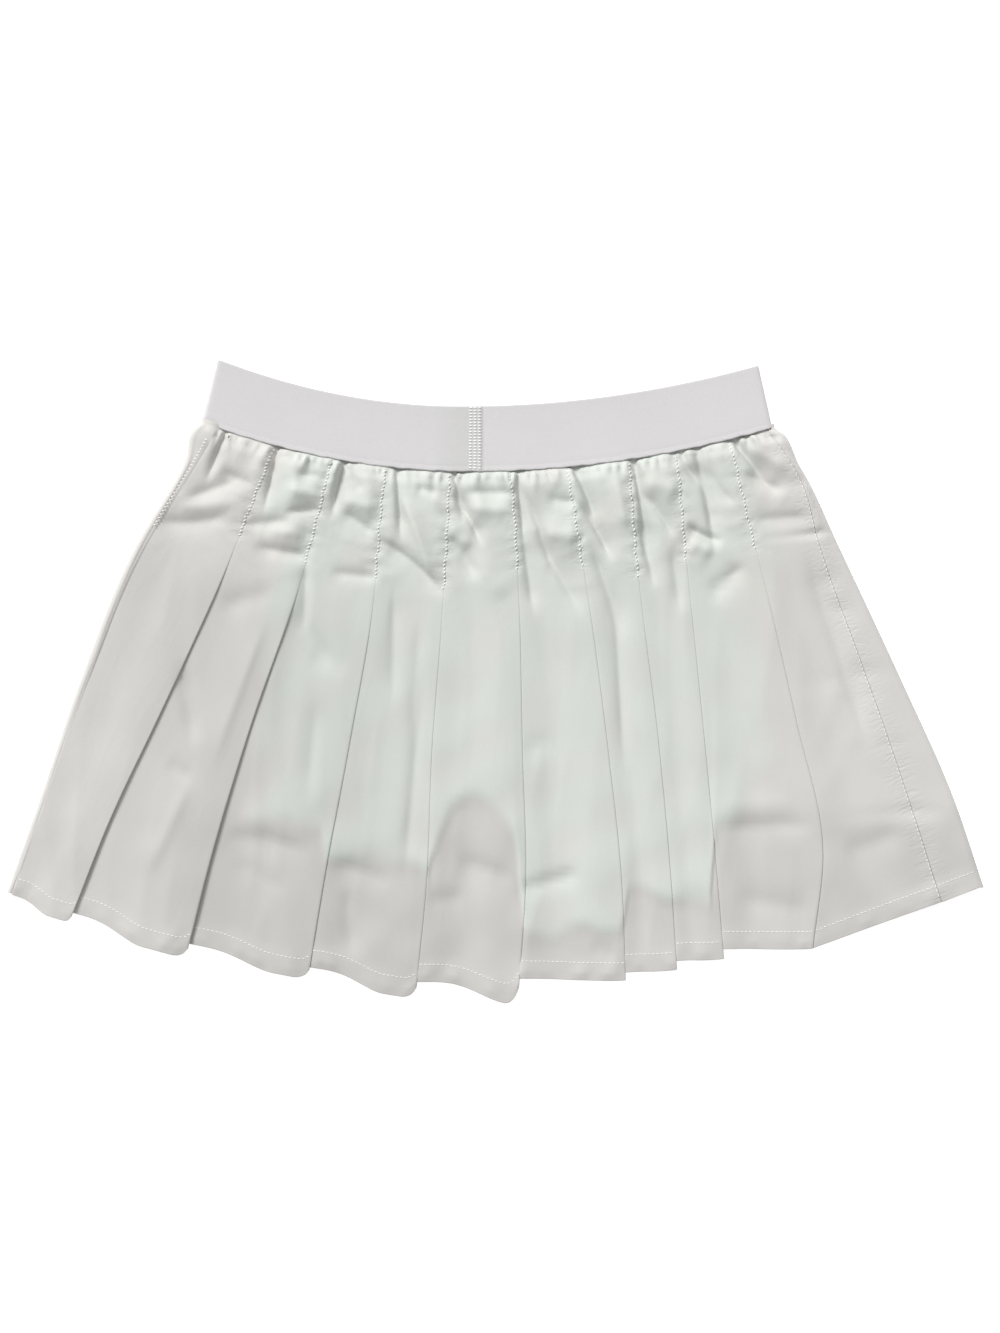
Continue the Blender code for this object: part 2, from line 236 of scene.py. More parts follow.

# Main creases, given one by one. "face" counts the faces between folds from the left; "share" is how
# far across its face a crease has its middle, and "below" how far under the waist seam; "lean" is
# its turn from straight down towards +X, in degrees; "bow" is how far it bends sideways; "left"
# and "right" are its widths on those sides of its run; "height" is negative for a trough and
# positive for a ridge.
Crease = namedtuple("Crease", "face share below lean length bow left right height")
BACK_CREASES = (
    # left tuck to the first fold
    Crease(0, 0.18, 13, -20, 32, 0, 3, 2, -2.6),
    Crease(0, 0.65, 25, 65, 20, 0, 4, 4, -2.0),
    Crease(0, 0.40, 35, 110, 30, 0, 5, 5, -2.2),
    Crease(0, 0.45, 45, 95, 30, 0, 6, 6, 1.5),
    Crease(0, 0.35, 55, 95, 40, -2, 5, 7, -2.2),
    # first to second fold
    Crease(1, 0.10, 15, -12, 42, 0, 3, 2, -2.8),
    Crease(1, 0.70, 13, 90, 14, 0, 3, 3, -1.6),
    Crease(1, 0.70, 24, 80, 20, 0, 6, 6, 2.2),
    Crease(1, 0.75, 35, 95, 20, 0, 3, 4, -2.2),
    Crease(1, 0.30, 47, 95, 25, 0, 5, 7, -2.6),
    Crease(1, 0.60, 50, 85, 20, 0, 6, 6, 1.6),
    Crease(1, 0.65, 62, 80, 30, 0, 4, 6, -2.6),
    Crease(1, 0.40, 95, 105, 30, 0, 6, 8, -1.6),
    Crease(1, 0.25, 165, 12, 40, 0, 4, 4, -2.0),
    Crease(1, 0.75, 150, -20, 80, 0, 3, 7, 0.9),
    Crease(1, 0.45, 205, 50, 15, 0, 3, 3, -1.2),
    Crease(1, 0.55, 240, -25, 50, 0, 4, 6, 1.2),
    # second to third fold
    Crease(2, 0.20, 13, -12, 38, 0, 4, 2, -3.2),
    Crease(2, 0.50, 12, 30, 12, 0, 3, 3, -1.2),
    Crease(2, 0.60, 25, 75, 20, 0, 6, 6, 2.0),
    Crease(2, 0.65, 36, 55, 22, 0, 4, 5, -2.4),
    Crease(2, 0.70, 68, 85, 25, 0, 4, 4, -1.6),
    Crease(2, 0.12, 85, 0, 35, 0, 2, 5, -2.8),
    Crease(2, 0.35, 110, 40, 35, 1, 4, 8, -1.4),
    Crease(2, 0.60, 122, 60, 20, 0, 5, 6, -0.8),
    Crease(2, 0.65, 175, -5, 50, 0, 5, 5, -1.4),
    Crease(2, 0.50, 224, 75, 40, 0, 7, 7, 0.7),
    Crease(2, 0.45, 236, 80, 45, 2, 4, 9, -1.6),
    Crease(2, 0.45, 256, 60, 30, 0, 5, 7, -0.9),
    # third to fourth fold
    Crease(3, 0.22, 16, 3, 46, 0, 4, 2, -3.6),
    Crease(3, 0.65, 12, 75, 12, 0, 3, 4, -1.8),
    Crease(3, 0.55, 42, 20, 50, 1, 6, 2, 2.4),
    Crease(3, 0.50, 58, 50, 45, 2, 3, 6, -3.2),
    Crease(3, 0.35, 105, 0, 60, 0, 4, 4, -1.5),
    Crease(3, 0.72, 125, -3, 60, 0, 6, 5, -1.4),
    Crease(3, 0.80, 180, -5, 110, 0, 6, 4, -1.6),
    Crease(3, 0.35, 243, 70, 32, 0, 4, 9, -1.7),
    Crease(3, 0.30, 275, 5, 34, 0, 6, 6, -1.6),
    # fourth to fifth fold
    Crease(4, 0.12, 10, 10, 36, 0, 5, 2, -3.8),
    Crease(4, 0.27, 28, 30, 32, 1, 5, 2, -3.6),
    Crease(4, 0.62, 13, 90, 25, 0, 4, 4, -2.0),
    Crease(4, 0.58, 23, 85, 25, 0, 6, 6, 2.0),
    Crease(4, 0.15, 40, 60, 15, 0, 5, 5, 1.6),
    Crease(4, 0.22, 50, 35, 30, 0, 6, 5, -2.4),
    Crease(4, 0.60, 62, 35, 30, 0, 8, 8, 1.4),
    Crease(4, 0.60, 238, 70, 30, 1, 4, 9, -1.5),
    Crease(4, 0.20, 255, 95, 20, 0, 4, 7, -1.0),
    # fifth to sixth fold
    Crease(5, 0.10, 18, 6, 46, 0, 5, 2, -3.4),
    Crease(5, 0.35, 36, 20, 48, 1, 5, 2, -2.0),
    Crease(5, 0.80, 20, 80, 15, 0, 4, 4, -1.6),
    Crease(5, 0.72, 40, 85, 20, 0, 8, 8, 2.6),
    Crease(5, 0.15, 62, 8, 40, 0, 5, 3, -2.6),
    Crease(5, 0.62, 64, 30, 45, 0, 6, 3, -2.0),
    Crease(5, 0.18, 165, 120, 16, 0, 5, 6, -0.9),
    Crease(5, 0.25, 246, 105, 34, 0, 3, 7, -2.0),
    Crease(5, 0.80, 288, 65, 14, 0, 4, 4, -0.8),
    # sixth to seventh fold
    Crease(6, 0.16, 13, 25, 38, 1, 5, 2, -3.8),
    Crease(6, 0.80, 25, 12, 30, 0, 5, 5, 2.2),
    Crease(6, 0.30, 40, 30, 34, 1, 5, 2, -3.2),
    Crease(6, 0.38, 75, 20, 50, 0, 5, 4, -2.6),
    Crease(6, 0.40, 125, 3, 90, 0, 5, 3, -1.8),
    # seventh to eighth fold
    Crease(7, 0.12, 24, 8, 64, 1, 6, 2, -4.2),
    Crease(7, 0.60, 20, 70, 20, 0, 8, 8, 2.4),
    Crease(7, 0.50, 36, 35, 30, 1, 4, 2, -2.0),
    Crease(7, 0.22, 58, 12, 35, 0, 4, 3, -2.6),
    Crease(7, 0.75, 75, 8, 35, 0, 5, 4, -1.8),
    # eighth to ninth fold
    Crease(8, 0.12, 10, 38, 28, 0, 5, 2, -3.4),
    Crease(8, 0.37, 25, 12, 62, 1, 6, 2, -4.0),
    Crease(8, 0.65, 26, 35, 25, 0, 3, 3, -1.4),
    Crease(8, 0.30, 52, 65, 20, -1, 2, 5, -3.0),
    Crease(8, 0.22, 60, 65, 14, 0, 6, 6, 2.0),
    Crease(8, 0.50, 82, -48, 25, 0, 5, 5, -2.2),
    Crease(8, 0.45, 218, 90, 40, 0, 7, 7, 0.8),
    Crease(8, 0.50, 231, 92, 50, 1, 4, 9, -1.8),
    Crease(8, 0.55, 278, 80, 40, 0, 7, 9, -1.2),
    # ninth fold to the right side seam
    Crease(9, 0.20, 12, 40, 38, 1, 6, 2, -4.0),
    Crease(9, 0.65, 16, 60, 25, 0, 6, 6, 2.0),
    Crease(9, 0.40, 29, 65, 22, 0, 4, 5, -2.6),
    Crease(9, 0.50, 53, 95, 36, 1, 4, 8, -1.8),
    Crease(9, 0.75, 140, 18, 100, 1, 6, 4, -2.2),
    Crease(9, 0.55, 255, 110, 32, 0, 7, 9, -1.2),
)
# How pointed a crease's crest is: 0 is a knife edge, and larger is rounder
CREST = 0.35
CREASE_FALL = 1.4
CREASE_DEPTH = 1.35
# In lengths of the crease: how far from its middle it ends, and how long its ends fade
CREASE_END = 0.66
CREASE_FADE = 0.42

# Puckers under the waist seam: small ones drawn up by the elastic, and a few that run further
GATHER_SEED = 11
GATHER_PAST_END = 4.0
GATHER_SLANT = (-0.34, 0.38)
GATHER_WIDENS = 30.0
GATHER_PINCH = 0.2
GATHER_PINCH_RUN = 2.2
# Gathers spread with the skirt until they are this much wider at the hem, the back's about an X
HEM_SPREAD = 1.62
SPREAD_MIDDLE = -5.0
SMALL_GATHER = {"gap": (2.2, 7.5), "length": (5.0, 17.0), "width": (0.8, 1.7), "height": (0.9, 4.2)}
HEM_GATHER = {"gap": (5.0, 14.0), "length": (8.0, 22.0), "width": (1.6, 3.2), "height": (0.4, 1.5)}
LONG_GATHER = {"gap": (9.0, 20.0), "length": (24.0, 66.0), "width": (2.2, 4.2), "height": (1.0, 2.6)}
# The yoke stands fuller than the rest: it rises under the seam, and fades below a full stretch
YOKE_FULLNESS = 3.2
YOKE_FULL_RISE = 10.0
YOKE_FULL_TO = 25.0
YOKE_FULL_FADE = 90.0
# The deepest that creases may press the back, which keeps its hidden layers off the table
RELIEF_LOWEST = -2.6
RELIEF_EASE = 0.5
SEAM_TUCK = 1.1
SEAM_TUCK_START = -0.5
SEAM_TUCK_RUN = 2.5

# Relief too fine for the mesh, in millimetres: the weave, then each kind of crumpling by its size
# across and along the cloth, its height, and the mesh attribute that says where it is
WEAVE_RELIEF = 0.008
Crumpling = namedtuple("Crumpling", "across along height mask")
CLOTH_CRUMPLING = (
    Crumpling(16.0, 14.0, 0.22, "yoke"),
    Crumpling(7.0, 3.2, 0.40, "sewn"),
    Crumpling(14.0, 60.0, 0.16, "tone"),
)

# Puckers that the stitching draws up, at the sewn folds and along the side seam
FOLD_PUCKER = {"gap": (4.0, 9.0), "width": (1.8, 2.6), "reach": (2.5, 6.0), "height": (0.4, 1.4),
               "slant": (-0.5, 0.5)}
SEAM_PUCKER = {"gap": (10.0, 44.0), "width": (2.4, 5.0), "reach": (6.0, 20.0), "height": (0.5, 2.4),
               "slant": (-0.1, 0.4)}
SEAM_PUCKER_SEED = 60

# Crumpling of the thin cloth: strong in the yoke, down to where it calms and over its fade, then
# drawn out along the skirt below it, on one broad wave, and ripples in the hem
CRUMPLE_ROUND = 0.04
YOKE_CALMS = 30.0
YOKE_FADE = 80.0
YOKE_CRUMPLE = {"size": 34.0, "height": 1.3, "seed": 30}
FINE_CRUMPLE = {"size": 15.0, "height": 0.22, "seed": 40}
BODY_CRUMPLE = {"size": 34.0, "height": 1.0, "drawn_out": 4.0, "seed": 50}
BROAD_WAVE = {"size": 62.0, "height": 0.9, "seed": 3}
HEM_RIPPLE = {"size": 9.0, "height": 0.16, "seed": 6}

STITCH_PITCH = 2.3
HEM_PITCH = 2.6
SEAM_PITCH = 2.8
FOLD_SLANT = -0.9
THREAD_RADIUS = 0.36
JOIN_LINES = (-14.8, -12.1, -9.4)
JOIN_PITCH = 1.85
JOIN_SLANT = 1.45
# "length" is a stitch's own length, and "thickness" its share of the thread's radius
Sewing = namedtuple("Sewing", "name length thickness slot")
SEWINGS = (
    Sewing("fold_stitching", 2.0, 1.0, "woven_cloth"),
    Sewing("hem_stitching", 2.1, 0.55, "woven_cloth"),
    Sewing("side_seam_stitching", 2.1, 0.6, "woven_cloth"),
    Sewing("waistband_join_stitching", 2.3, 1.0, "elastic"),
)
SURFACE_LIFT = {"woven_cloth": CLOTH_WALL / 2, "elastic": ELASTIC_WALL / 2}

FLOOR_HALF = 3.0
FLOOR_GAP = 0.0003
LIGHT_FROM = (-0.42, 0.72, 0.62)
CAMERA_X = 2.7
CAMERA_Y = 7.4


def mix(a, b, share):
    """A value the given share of the way from a to b."""
    return a + (b - a) * share


def smooth(share):
    """Three s squared minus two s cubed, with s held between 0 and 1."""
    s = np.clip(share, 0.0, 1.0)
    return s * s * (3.0 - 2.0 * s)


def line_x(places, down):
    """X of a line down the skirt: a cubic Hermite curve through its X at STATIONS."""
    x = np.array(places, float)
    slopes = np.gradient(x, STATIONS)
    inside = np.clip(down, 0.0, 1.0)
    i = np.clip(np.searchsorted(STATIONS, inside) - 1, 0, len(STATIONS) - 2)
    span = STATIONS[i + 1] - STATIONS[i]
    s = (inside - STATIONS[i]) / span
    start = (1 + 2 * s) * (1 - s) ** 2 * x[i] + s * (1 - s) ** 2 * span * slopes[i]
    end = s * s * (3 - 2 * s) * x[i + 1] + s * s * (s - 1) * span * slopes[i + 1]
    return start + end


def edge_y(x, vertex, bend):
    """Y of a band edge: a parabola about its lowest point, with its own bend on each side."""
    offset = x - vertex[0]
    return vertex[1] + np.where(offset < 0, bend[0], bend[1]) * offset * offset


def waist_y(x):
    """Y of the waist seam, which is the band's lower edge."""
    return edge_y(x, BAND_LOW_VERTEX, BAND_LOW_BEND)


def row_y(waist_x, hem_y, down):
    """Y of a point on a thread that starts on the waist seam at waist_x and ends at hem_y."""
    return mix(waist_y(waist_x), hem_y, down)


def side_flare(down):
    """How far the gathered sides puff out just below the band: a quick rise, then a slow fall."""
    below = down * LENGTH
    return FLARE * smooth(below / FLARE_RISE) * (1.0 - smooth((below - FLARE_CREST) / FLARE_FALL))


def left_edge(down):
    return line_x(LEFT_EDGE, down) - side_flare(down)


def right_edge(down):
    return line_x(RIGHT_EDGE, down) + side_flare(down)


def face_sides(number):
    """X at STATIONS of the two lines beside a face, and the hem's Y at each of them."""
    lines = [LEFT_TUCK] + [pleat[:6] for pleat in BACK_PLEATS] + [RIGHT_SEAM]
    starts = [LEFT_HEM_Y] + [pleat.next_y for pleat in BACK_PLEATS]
    ends = [pleat.hem_y for pleat in BACK_PLEATS] + [RIGHT_SEAM_HEM_Y]
    return lines[number], lines[number + 1], starts[number], ends[number]


def crease_relief(x, y, creases):
    """Sum of creases. Each has its middle a share of the way across a face. Across its bowed run
    it falls away exponentially from a rounded crest, and it fades at both ends."""
    total = np.zeros_like(x)
    for c in creases:
        left, right, start_hem, end_hem = face_sides(c.face)
        down = c.below / LENGTH
        middle_x = mix(line_x(left, down), line_x(right, down), c.share)
        middle_y = row_y(mix(left[0], right[0], c.share), mix(start_hem, end_hem, c.share), down)
        dx, dy = math.sin(math.radians(c.lean)), -math.cos(math.radians(c.lean))
        along = ((x - middle_x) * dx + (y - middle_y) * dy) / c.length
        across = (y - middle_y) * dx - (x - middle_x) * dy
        across = across - c.bow * (1.0 - 4.0 * along * along)
        steps = across / np.where(across > 0, c.left, c.right)
        fall = np.exp(-CREASE_FALL * (np.sqrt(steps * steps + CREST * CREST) - CREST))
        total = total + (CREASE_DEPTH * c.height * fall
                         * smooth((along + CREASE_END) / CREASE_FADE)
                         * smooth((CREASE_END - along) / CREASE_FADE))
    return total


def undulation(x, y, wavelength, seed):
    """Gentle unevenness: the mean of seven plane waves of about one wavelength, each with a
    seeded direction, phase and stretch."""
    rng = np.random.default_rng(seed)
    total = np.zeros(np.broadcast_shapes(np.shape(x), np.shape(y)))
    for _ in range(7):
        angle, phase, stretch = rng.uniform(0, math.tau), rng.uniform(0, math.tau), rng.uniform(0.7, 1.5)
        k = math.tau / (wavelength * stretch)
        total = total + np.sin(k * (x * math.cos(angle) + y * math.sin(angle)) + phase)
    return total / 7.0


def crumple(x, y, size, seed):
    """Crisp, wandering creases: minus the rounded size of an undulation, which has a crest
    wherever the undulation crosses zero. Its place is itself shifted by slower undulations."""
    bent_x = x + 0.35 * size * undulation(x, y, 1.7 * size, seed + 1)
    bent_y = y + 0.35 * size * undulation(x, y, 1.4 * size, seed + 2)
    wave = undulation(bent_x, bent_y, size, seed)
    return 0.2 - np.sqrt(wave * wave + CRUMPLE_ROUND * CRUMPLE_ROUND)


def line_puckers(offset, below, last, kind, seed):
    """Puckers that a line of stitches draws up, uneven in place, slant, reach and depth: each is
    a Gaussian trough across the line that dies away on both sides of it."""
    rng = np.random.default_rng(seed)
    total = np.zeros(np.broadcast_shapes(np.shape(offset), np.shape(below)))
    place = rng.uniform(4.0, 8.0)
    while place < last:
        width, reach, height, slant = (rng.uniform(*kind[key])
                                       for key in ("width", "reach", "height", "slant"))
        fade = np.exp(-np.abs(offset) / np.where(offset < 0, reach, 0.6 * reach))
        total = total - height * np.exp(-((below - place - slant * offset) / width) ** 2) * fade
        place += rng.uniform(*kind["gap"])
    return total


def gathers(waist_x, below, kind, seed):
    """Puckers from a seam or hem, uneven in place, slant, length, width and height: each is a
    Gaussian ridge that widens as it runs away from it, is pinched there and dies away at its
    length."""
    rng = np.random.default_rng(seed)
    total = np.zeros(np.broadcast_shapes(np.shape(waist_x), np.shape(below)))
    place = BAND_LOW[0] - GATHER_PAST_END
    while place < BAND_LOW[1] + GATHER_PAST_END:
        length, width, height = (rng.uniform(*kind[key]) for key in ("length", "width", "height"))
        centre = place + rng.uniform(*GATHER_SLANT) * below
        spread = width * (1.0 + below / GATHER_WIDENS)
        pinch = smooth((below - GATHER_PINCH) / GATHER_PINCH_RUN)
        along = pinch * (1.0 - smooth(below / length))
        total = total + height * np.exp(-((waist_x - centre) / spread) ** 2) * along
        place += rng.uniform(*kind["gap"])
    return total


def rows_down():
    """Shares down the skirt of the rows of points: close in the yoke, near the inner layer's
    edge and at the hem."""
    hem_start = LENGTH - HEM_ROWS_DEPTH
    yoke = np.linspace(-SEAM_ALLOWANCE, YOKE_ROWS_END, YOKE_ROWS, endpoint=False)
    body = np.linspace(YOKE_ROWS_END, BODY_ROWS_END, BODY_ROWS, endpoint=False)
    low = np.linspace(BODY_ROWS_END, hem_start, LOW_ROWS, endpoint=False)
    hem = np.linspace(hem_start, LENGTH - HEM_ROWS_SHORT, HEM_ROWS)
    return (np.concatenate((yoke, body, low, hem, (LENGTH,))) / LENGTH)[:, None]


def layer(down):
    """Height of one layer of pleated cloth: tight where it is sewn, looser towards the hem."""
    return mix(LAYER_YOKE, LAYER_HEM, smooth((down - LAYER_LOOSENS) / LAYER_RUN))


def back_base(down):
    return mix(BACK_BASE_WAIST, BACK_BASE_HEM, down)


def opened(pleat, down):
    """How far a fold has come free of its stitches: 0 where sewn, 1 further down."""
    return smooth((down * LENGTH - pleat.stitched) / FOLD_OPENING)


def fold_x(pleat, down):
    """X of a fold: its line, with the small wander that sewing gives its stitched part."""
    line = line_x((pleat.waist, pleat.top, pleat.yoke, pleat.middle, pleat.low, pleat.hem), down)
    below = down * LENGTH
    sewn = smooth(below / 8.0) * (1.0 - smooth((below - pleat.stitched + 4.0) / 8.0))
    return line + sewn * (0.40 * np.sin(below / 2.9 + pleat.waist) + 0.25 * np.sin(below / 1.3))


def hem_droop(pleat, share, down):
    """How far a row hangs at a share of the pleat: eased in to the peak, then a round corner."""
    corner = np.clip(share - DROOP_CORNER, 0.0, None) / (1.0 - DROOP_CORNER)
    hang = smooth(share / pleat.peak) ** 2 * np.sqrt(np.clip(1.0 - corner ** 2, 0.0, 1.0))
    return pleat.droop * hang * np.clip(down, 0, 1) ** 3


class Strip:
    """Columns of a surface, added block by block, each with its place and how far it follows
    the creases."""

    def __init__(self, down):
        self.down = down
        self.blocks = []
        self.width = 0

    def add(self, x, y, z, follow):
        """Add a block of columns, and give back the numbers of its first and last column."""
        shape = np.broadcast_shapes(np.shape(x), np.shape(y), np.shape(z), self.down.shape)
        self.blocks.append([np.broadcast_to(values, shape) for values in (x, y, z, follow)])
        first, self.width = self.width, self.width + shape[1]
        return first, self.width - 1

    def arrays(self):
        return [np.concatenate([block[k] for block in self.blocks], axis=1) for k in range(4)]


Surface = namedtuple("Surface", "x y z faces")


def turn(first, last, steps):
    """Angles of a round turn, as one row, without the first of them."""
    return np.linspace(first, last, steps + 1)[None, 1:]


def face_shares(count, last_share):
    """Shares across a face from 0 to the start of its fold, closer together at both ends."""
    even = np.linspace(0.0, 1.0, count)[None, :]
    eased = 0.5 - 0.5 * np.cos(even * math.pi)
    return mix(even, eased, 0.4) * last_share


def add_pleat(strip, pleat, start_x, start_waist, start_hem, start_rise):
    """One pleat. Its face leaves the layer below, climbs over the hidden inner fold to its own
    crest, dips to its fold and turns over in a half circle, and the cloth then runs back
    underneath and turns again. start_rise is any extra height where the face starts."""
    down = strip.down
    low, gap = back_base(down), layer(down)
    depth = mix(DEPTH_WAIST, DEPTH_HEM, down)
    fold = fold_x(pleat, down)
    free = opened(pleat, down)
    radius = np.maximum(gap / 2, pleat.roll * smooth((down - 0.25) / 0.75))
    width = fold - start_x
    climb = (width - depth - FACE_CLIMB_SPARE) / width
    fold_share = 1.0 - radius / width

    share = face_shares(pleat.columns, fold_share)
    rise = 2 * gap * smooth(share / climb) + (2 * radius - gap) * smooth(share)
    crest = smooth((share - FACE_CREST_START) / FACE_CREST_RUN)
    crest = crest - FACE_DIP * smooth((share - FACE_DIP_START) / FACE_DIP_RUN)
    rise = rise + pleat.lift * free * crest + start_rise * (1 - smooth(share / FACE_START_RUN))
    waist_x = mix(start_waist, pleat.waist, share)
    y = row_y(waist_x, mix(start_hem, pleat.hem_y, share), down) - hem_droop(pleat, share, down)
    face = strip.add(start_x + width * share, y, low + rise, 1.0)

    lift = (rise - 2 * radius - gap)[:, -1:]
    hang = hem_droop(pleat, fold_share, down)
    angle = turn(math.pi / 2, -math.pi / 2, 4)
    x = fold - radius + radius * np.cos(angle)
    z = low + gap + lift + radius * (1 + np.sin(angle))
    keep = np.clip(np.sin(angle) * 0.5 + 0.35, 0.0, 1.0)
    strip.add(x, row_y(pleat.waist + x - fold, pleat.hem_y, down) - hang * keep, z,
              mix(0.9, 1.0, 0.5 + 0.5 * np.sin(angle)))

    inner = fold - depth
    hidden_hem = (pleat.hem_y + pleat.next_y) / 2
    x = mix(fold - radius, inner + gap / 2, np.array([[0.33, 0.67]]))
    z = low + gap + lift * np.array([[0.4, 0.1]]) - UNDER_ROOM
    strip.add(x, row_y(pleat.waist + x - fold, hidden_hem, down), z, 0.8)
    angle = turn(math.pi / 2, math.pi * 1.5, 2)
    x = inner + gap / 2 + gap / 2 * np.cos(angle)
    strip.add(x, row_y(pleat.waist + x - fold, hidden_hem, down),
              low + gap / 2 + gap / 2 * np.sin(angle) - UNDER_ROOM, 0.8)
    x = mix(inner, fold, 0.7)
    strip.add(x, row_y(pleat.waist + x - fold, hidden_hem, down), low - UNDER_ROOM, 0.8)
    next_rise = (rise[:, -1:] - FOLD_STEP) * (1.0 - pleat.gape * free)
    return fold + FOLD_STEP, face, next_rise


def back_surface():
    """The back panel as a grid of points: rows from the waist seam to the hem, columns from the
    left side seam underneath, round the left edge and over the pleats to the right side seam."""
    down = rows_down()
    strip = Strip(down)
    low, gap = back_base(down), layer(down)
    left, tuck, seam = left_edge(down), line_x(LEFT_TUCK, down), line_x(LEFT_SEAM, down)
    floor_z = CLOTH_WALL / 2
    step = TUCK_STEP * (1 - smooth((down - TUCK_FLAT_START) / TUCK_FLAT_RUN))
    top = low + TUCK_RISE + step
    radius = (top - floor_z) / 2
    x = mix(seam, left + radius, np.array([[0.0, 0.5]]))
    strip.add(x, front_row_y(x, down), floor_z, 0.0)
    angle = np.linspace(-math.pi / 2, -math.pi * 1.5, 9)[None, :]
    x = left + radius + radius * np.cos(angle)
    strip.add(x, row_y(LEFT_EDGE[0] + x - left, LEFT_HEM_Y, down),
              floor_z + radius * (1 + np.sin(angle)), 0.6 * np.clip(np.sin(angle), 0, 1))
    edge_x = left + radius
    tuck = np.maximum(tuck, edge_x + 0.4)
    for share in (0.3, 0.9):
        x = mix(edge_x, tuck, share)
        tuck_face = strip.add(x, row_y(LEFT_EDGE[0] + x - left, LEFT_HEM_Y - 0.3, down), top, share)
    start_x, start_waist, start_hem = tuck + 0.2, LEFT_TUCK[0], LEFT_HEM_Y - 0.8
    start_rise = top - step - low
    faces = [tuck_face]
    for pleat in BACK_PLEATS:
        start_x, face, start_rise = add_pleat(strip, pleat, start_x, start_waist, start_hem, start_rise)
        faces.append(face)
        start_waist, start_hem = pleat.waist, pleat.next_y

    edge = line_x(RIGHT_SEAM, down)
    share = np.append(face_shares(SIDE_COLUMNS, 0.992), [[1.0]], axis=1)
    y = row_y(mix(start_waist, RIGHT_SEAM[0], share), mix(start_hem, RIGHT_SEAM_HEM_Y, share), down)
    rise = mix(low, side_rise(down), smooth(share)) + start_rise * (1 - smooth(share / FACE_START_RUN))
    rise = rise - SEAM_DIP * smooth((share - 0.93) / 0.07)
    faces.append(strip.add(mix(start_x, edge, share), y, rise, 1.0))
    strip.add(edge + SEAM_OVERLAP, y[:, -1:], side_rise(down) - SEAM_TURN_DOWN, 1.0)
    x, y, z, follow = strip.arrays()
    return Surface(x, y, z + follow * back_relief(x, y, down), faces)


def side_rise(down):
    """Height of the cloth at the right side seam."""
    return back_base(down) + SIDE_LAYERS * layer(down)


def sewn_mask(x, down):
    """How close a point is to a sewn fold or the side seam: a Gaussian across each, wider on the
    side that the fold or seam lies on."""
    below = down * LENGTH
    total = np.zeros_like(x)
    for pleat in BACK_PLEATS:
        offset = x - fold_x(pleat, down)
        width = np.where(offset < 0, 6.0, 3.5)
        ends = smooth((below - 3.0) / 6.0) * (1.0 - smooth((below - pleat.stitched) / 4.0))
        total = total + np.exp(-(offset / width) ** 2) * ends
    total = total + np.exp(-((x - line_x(RIGHT_SEAM, down)) / 8.0) ** 2)
    return np.clip(total, 0.0, 1.0)


def inner_edge(x):
    """Y of the inner layer's lower edge: straight lines between the ends of its rows, and higher
    by a half sine to the power 0.6 where a row has an arch."""
    ends_x = [value for edge in INNER_EDGES for value in (edge.left, edge.right)]
    ends_y = [value for edge in INNER_EDGES for value in (edge.left_y, edge.right_y)]
    y = np.interp(x, ends_x, ends_y)
    for edge in INNER_EDGES:
        share = np.clip((x - edge.left) / (edge.right - edge.left), 0.0, 1.0)
        y = y + edge.arch * np.sin(math.pi * share) ** 0.6
    return y


def over_inner_edge(x, y):
    """How far a point lies over the inner layer's lower edge, with the edge made ragged."""
    ragged = 1.5 * np.sin(x / 9.0) + 7.0 * undulation(x, y, 26.0, INNER_SEED)
    return y - inner_edge(x) + ragged


def inner_mask(x, y):
    """Where the paler layer inside shows through: a patch with soft sides and an uneven lower
    edge, a little patchy all over."""
    lower = smooth(over_inner_edge(x, y) / 12.0)
    left = smooth((x - INNER_LEFT + 18.0 * undulation(x, y, 50.0, INNER_SEED + 1)) / 30.0)
    right = smooth((INNER_RIGHT - x + 18.0 * undulation(x, y, 50.0, INNER_SEED + 2)) / 30.0)
    patchy = 0.78 + 0.75 * undulation(x, y, 34.0, INNER_SEED + 3)
    return lower * left * right * np.clip(patchy, 0.0, 1.0)


def cloth_tone_and_painted_shade(x, y, down):
    """Brightness painted into the cloth's colour: 1 in the yoke, a painted shade under it that is
    stronger on some faces, and duller again in an uneven zone near the hem that the inner layer
    doesn't back."""
    backed = smooth(over_inner_edge(x, y) / 18.0)
    uneven = 1.0 + 0.6 * undulation(x, y, 30.0, INNER_SEED + 4)
    at, body, dull = zip(*PAINTED_SHADE_AND_DULL_TONES)
    tone = mix(1.0, np.interp(x, at, body), smooth((down * LENGTH - 60.0) / 60.0))
    return tone - np.interp(x, at, dull) * (1.0 - backed) * uneven


def yoke_share(down):
    """How much a height belongs to the yoke: 1 near the waist seam, and 0 well under it."""
    return 1.0 - smooth((down * LENGTH - YOKE_CALMS) / YOKE_FADE)


def spread_at(down):
    """How much wider the gathers stand at a height than at the waist seam."""
    return mix(1.0, HEM_SPREAD, np.clip(down, 0, 1))


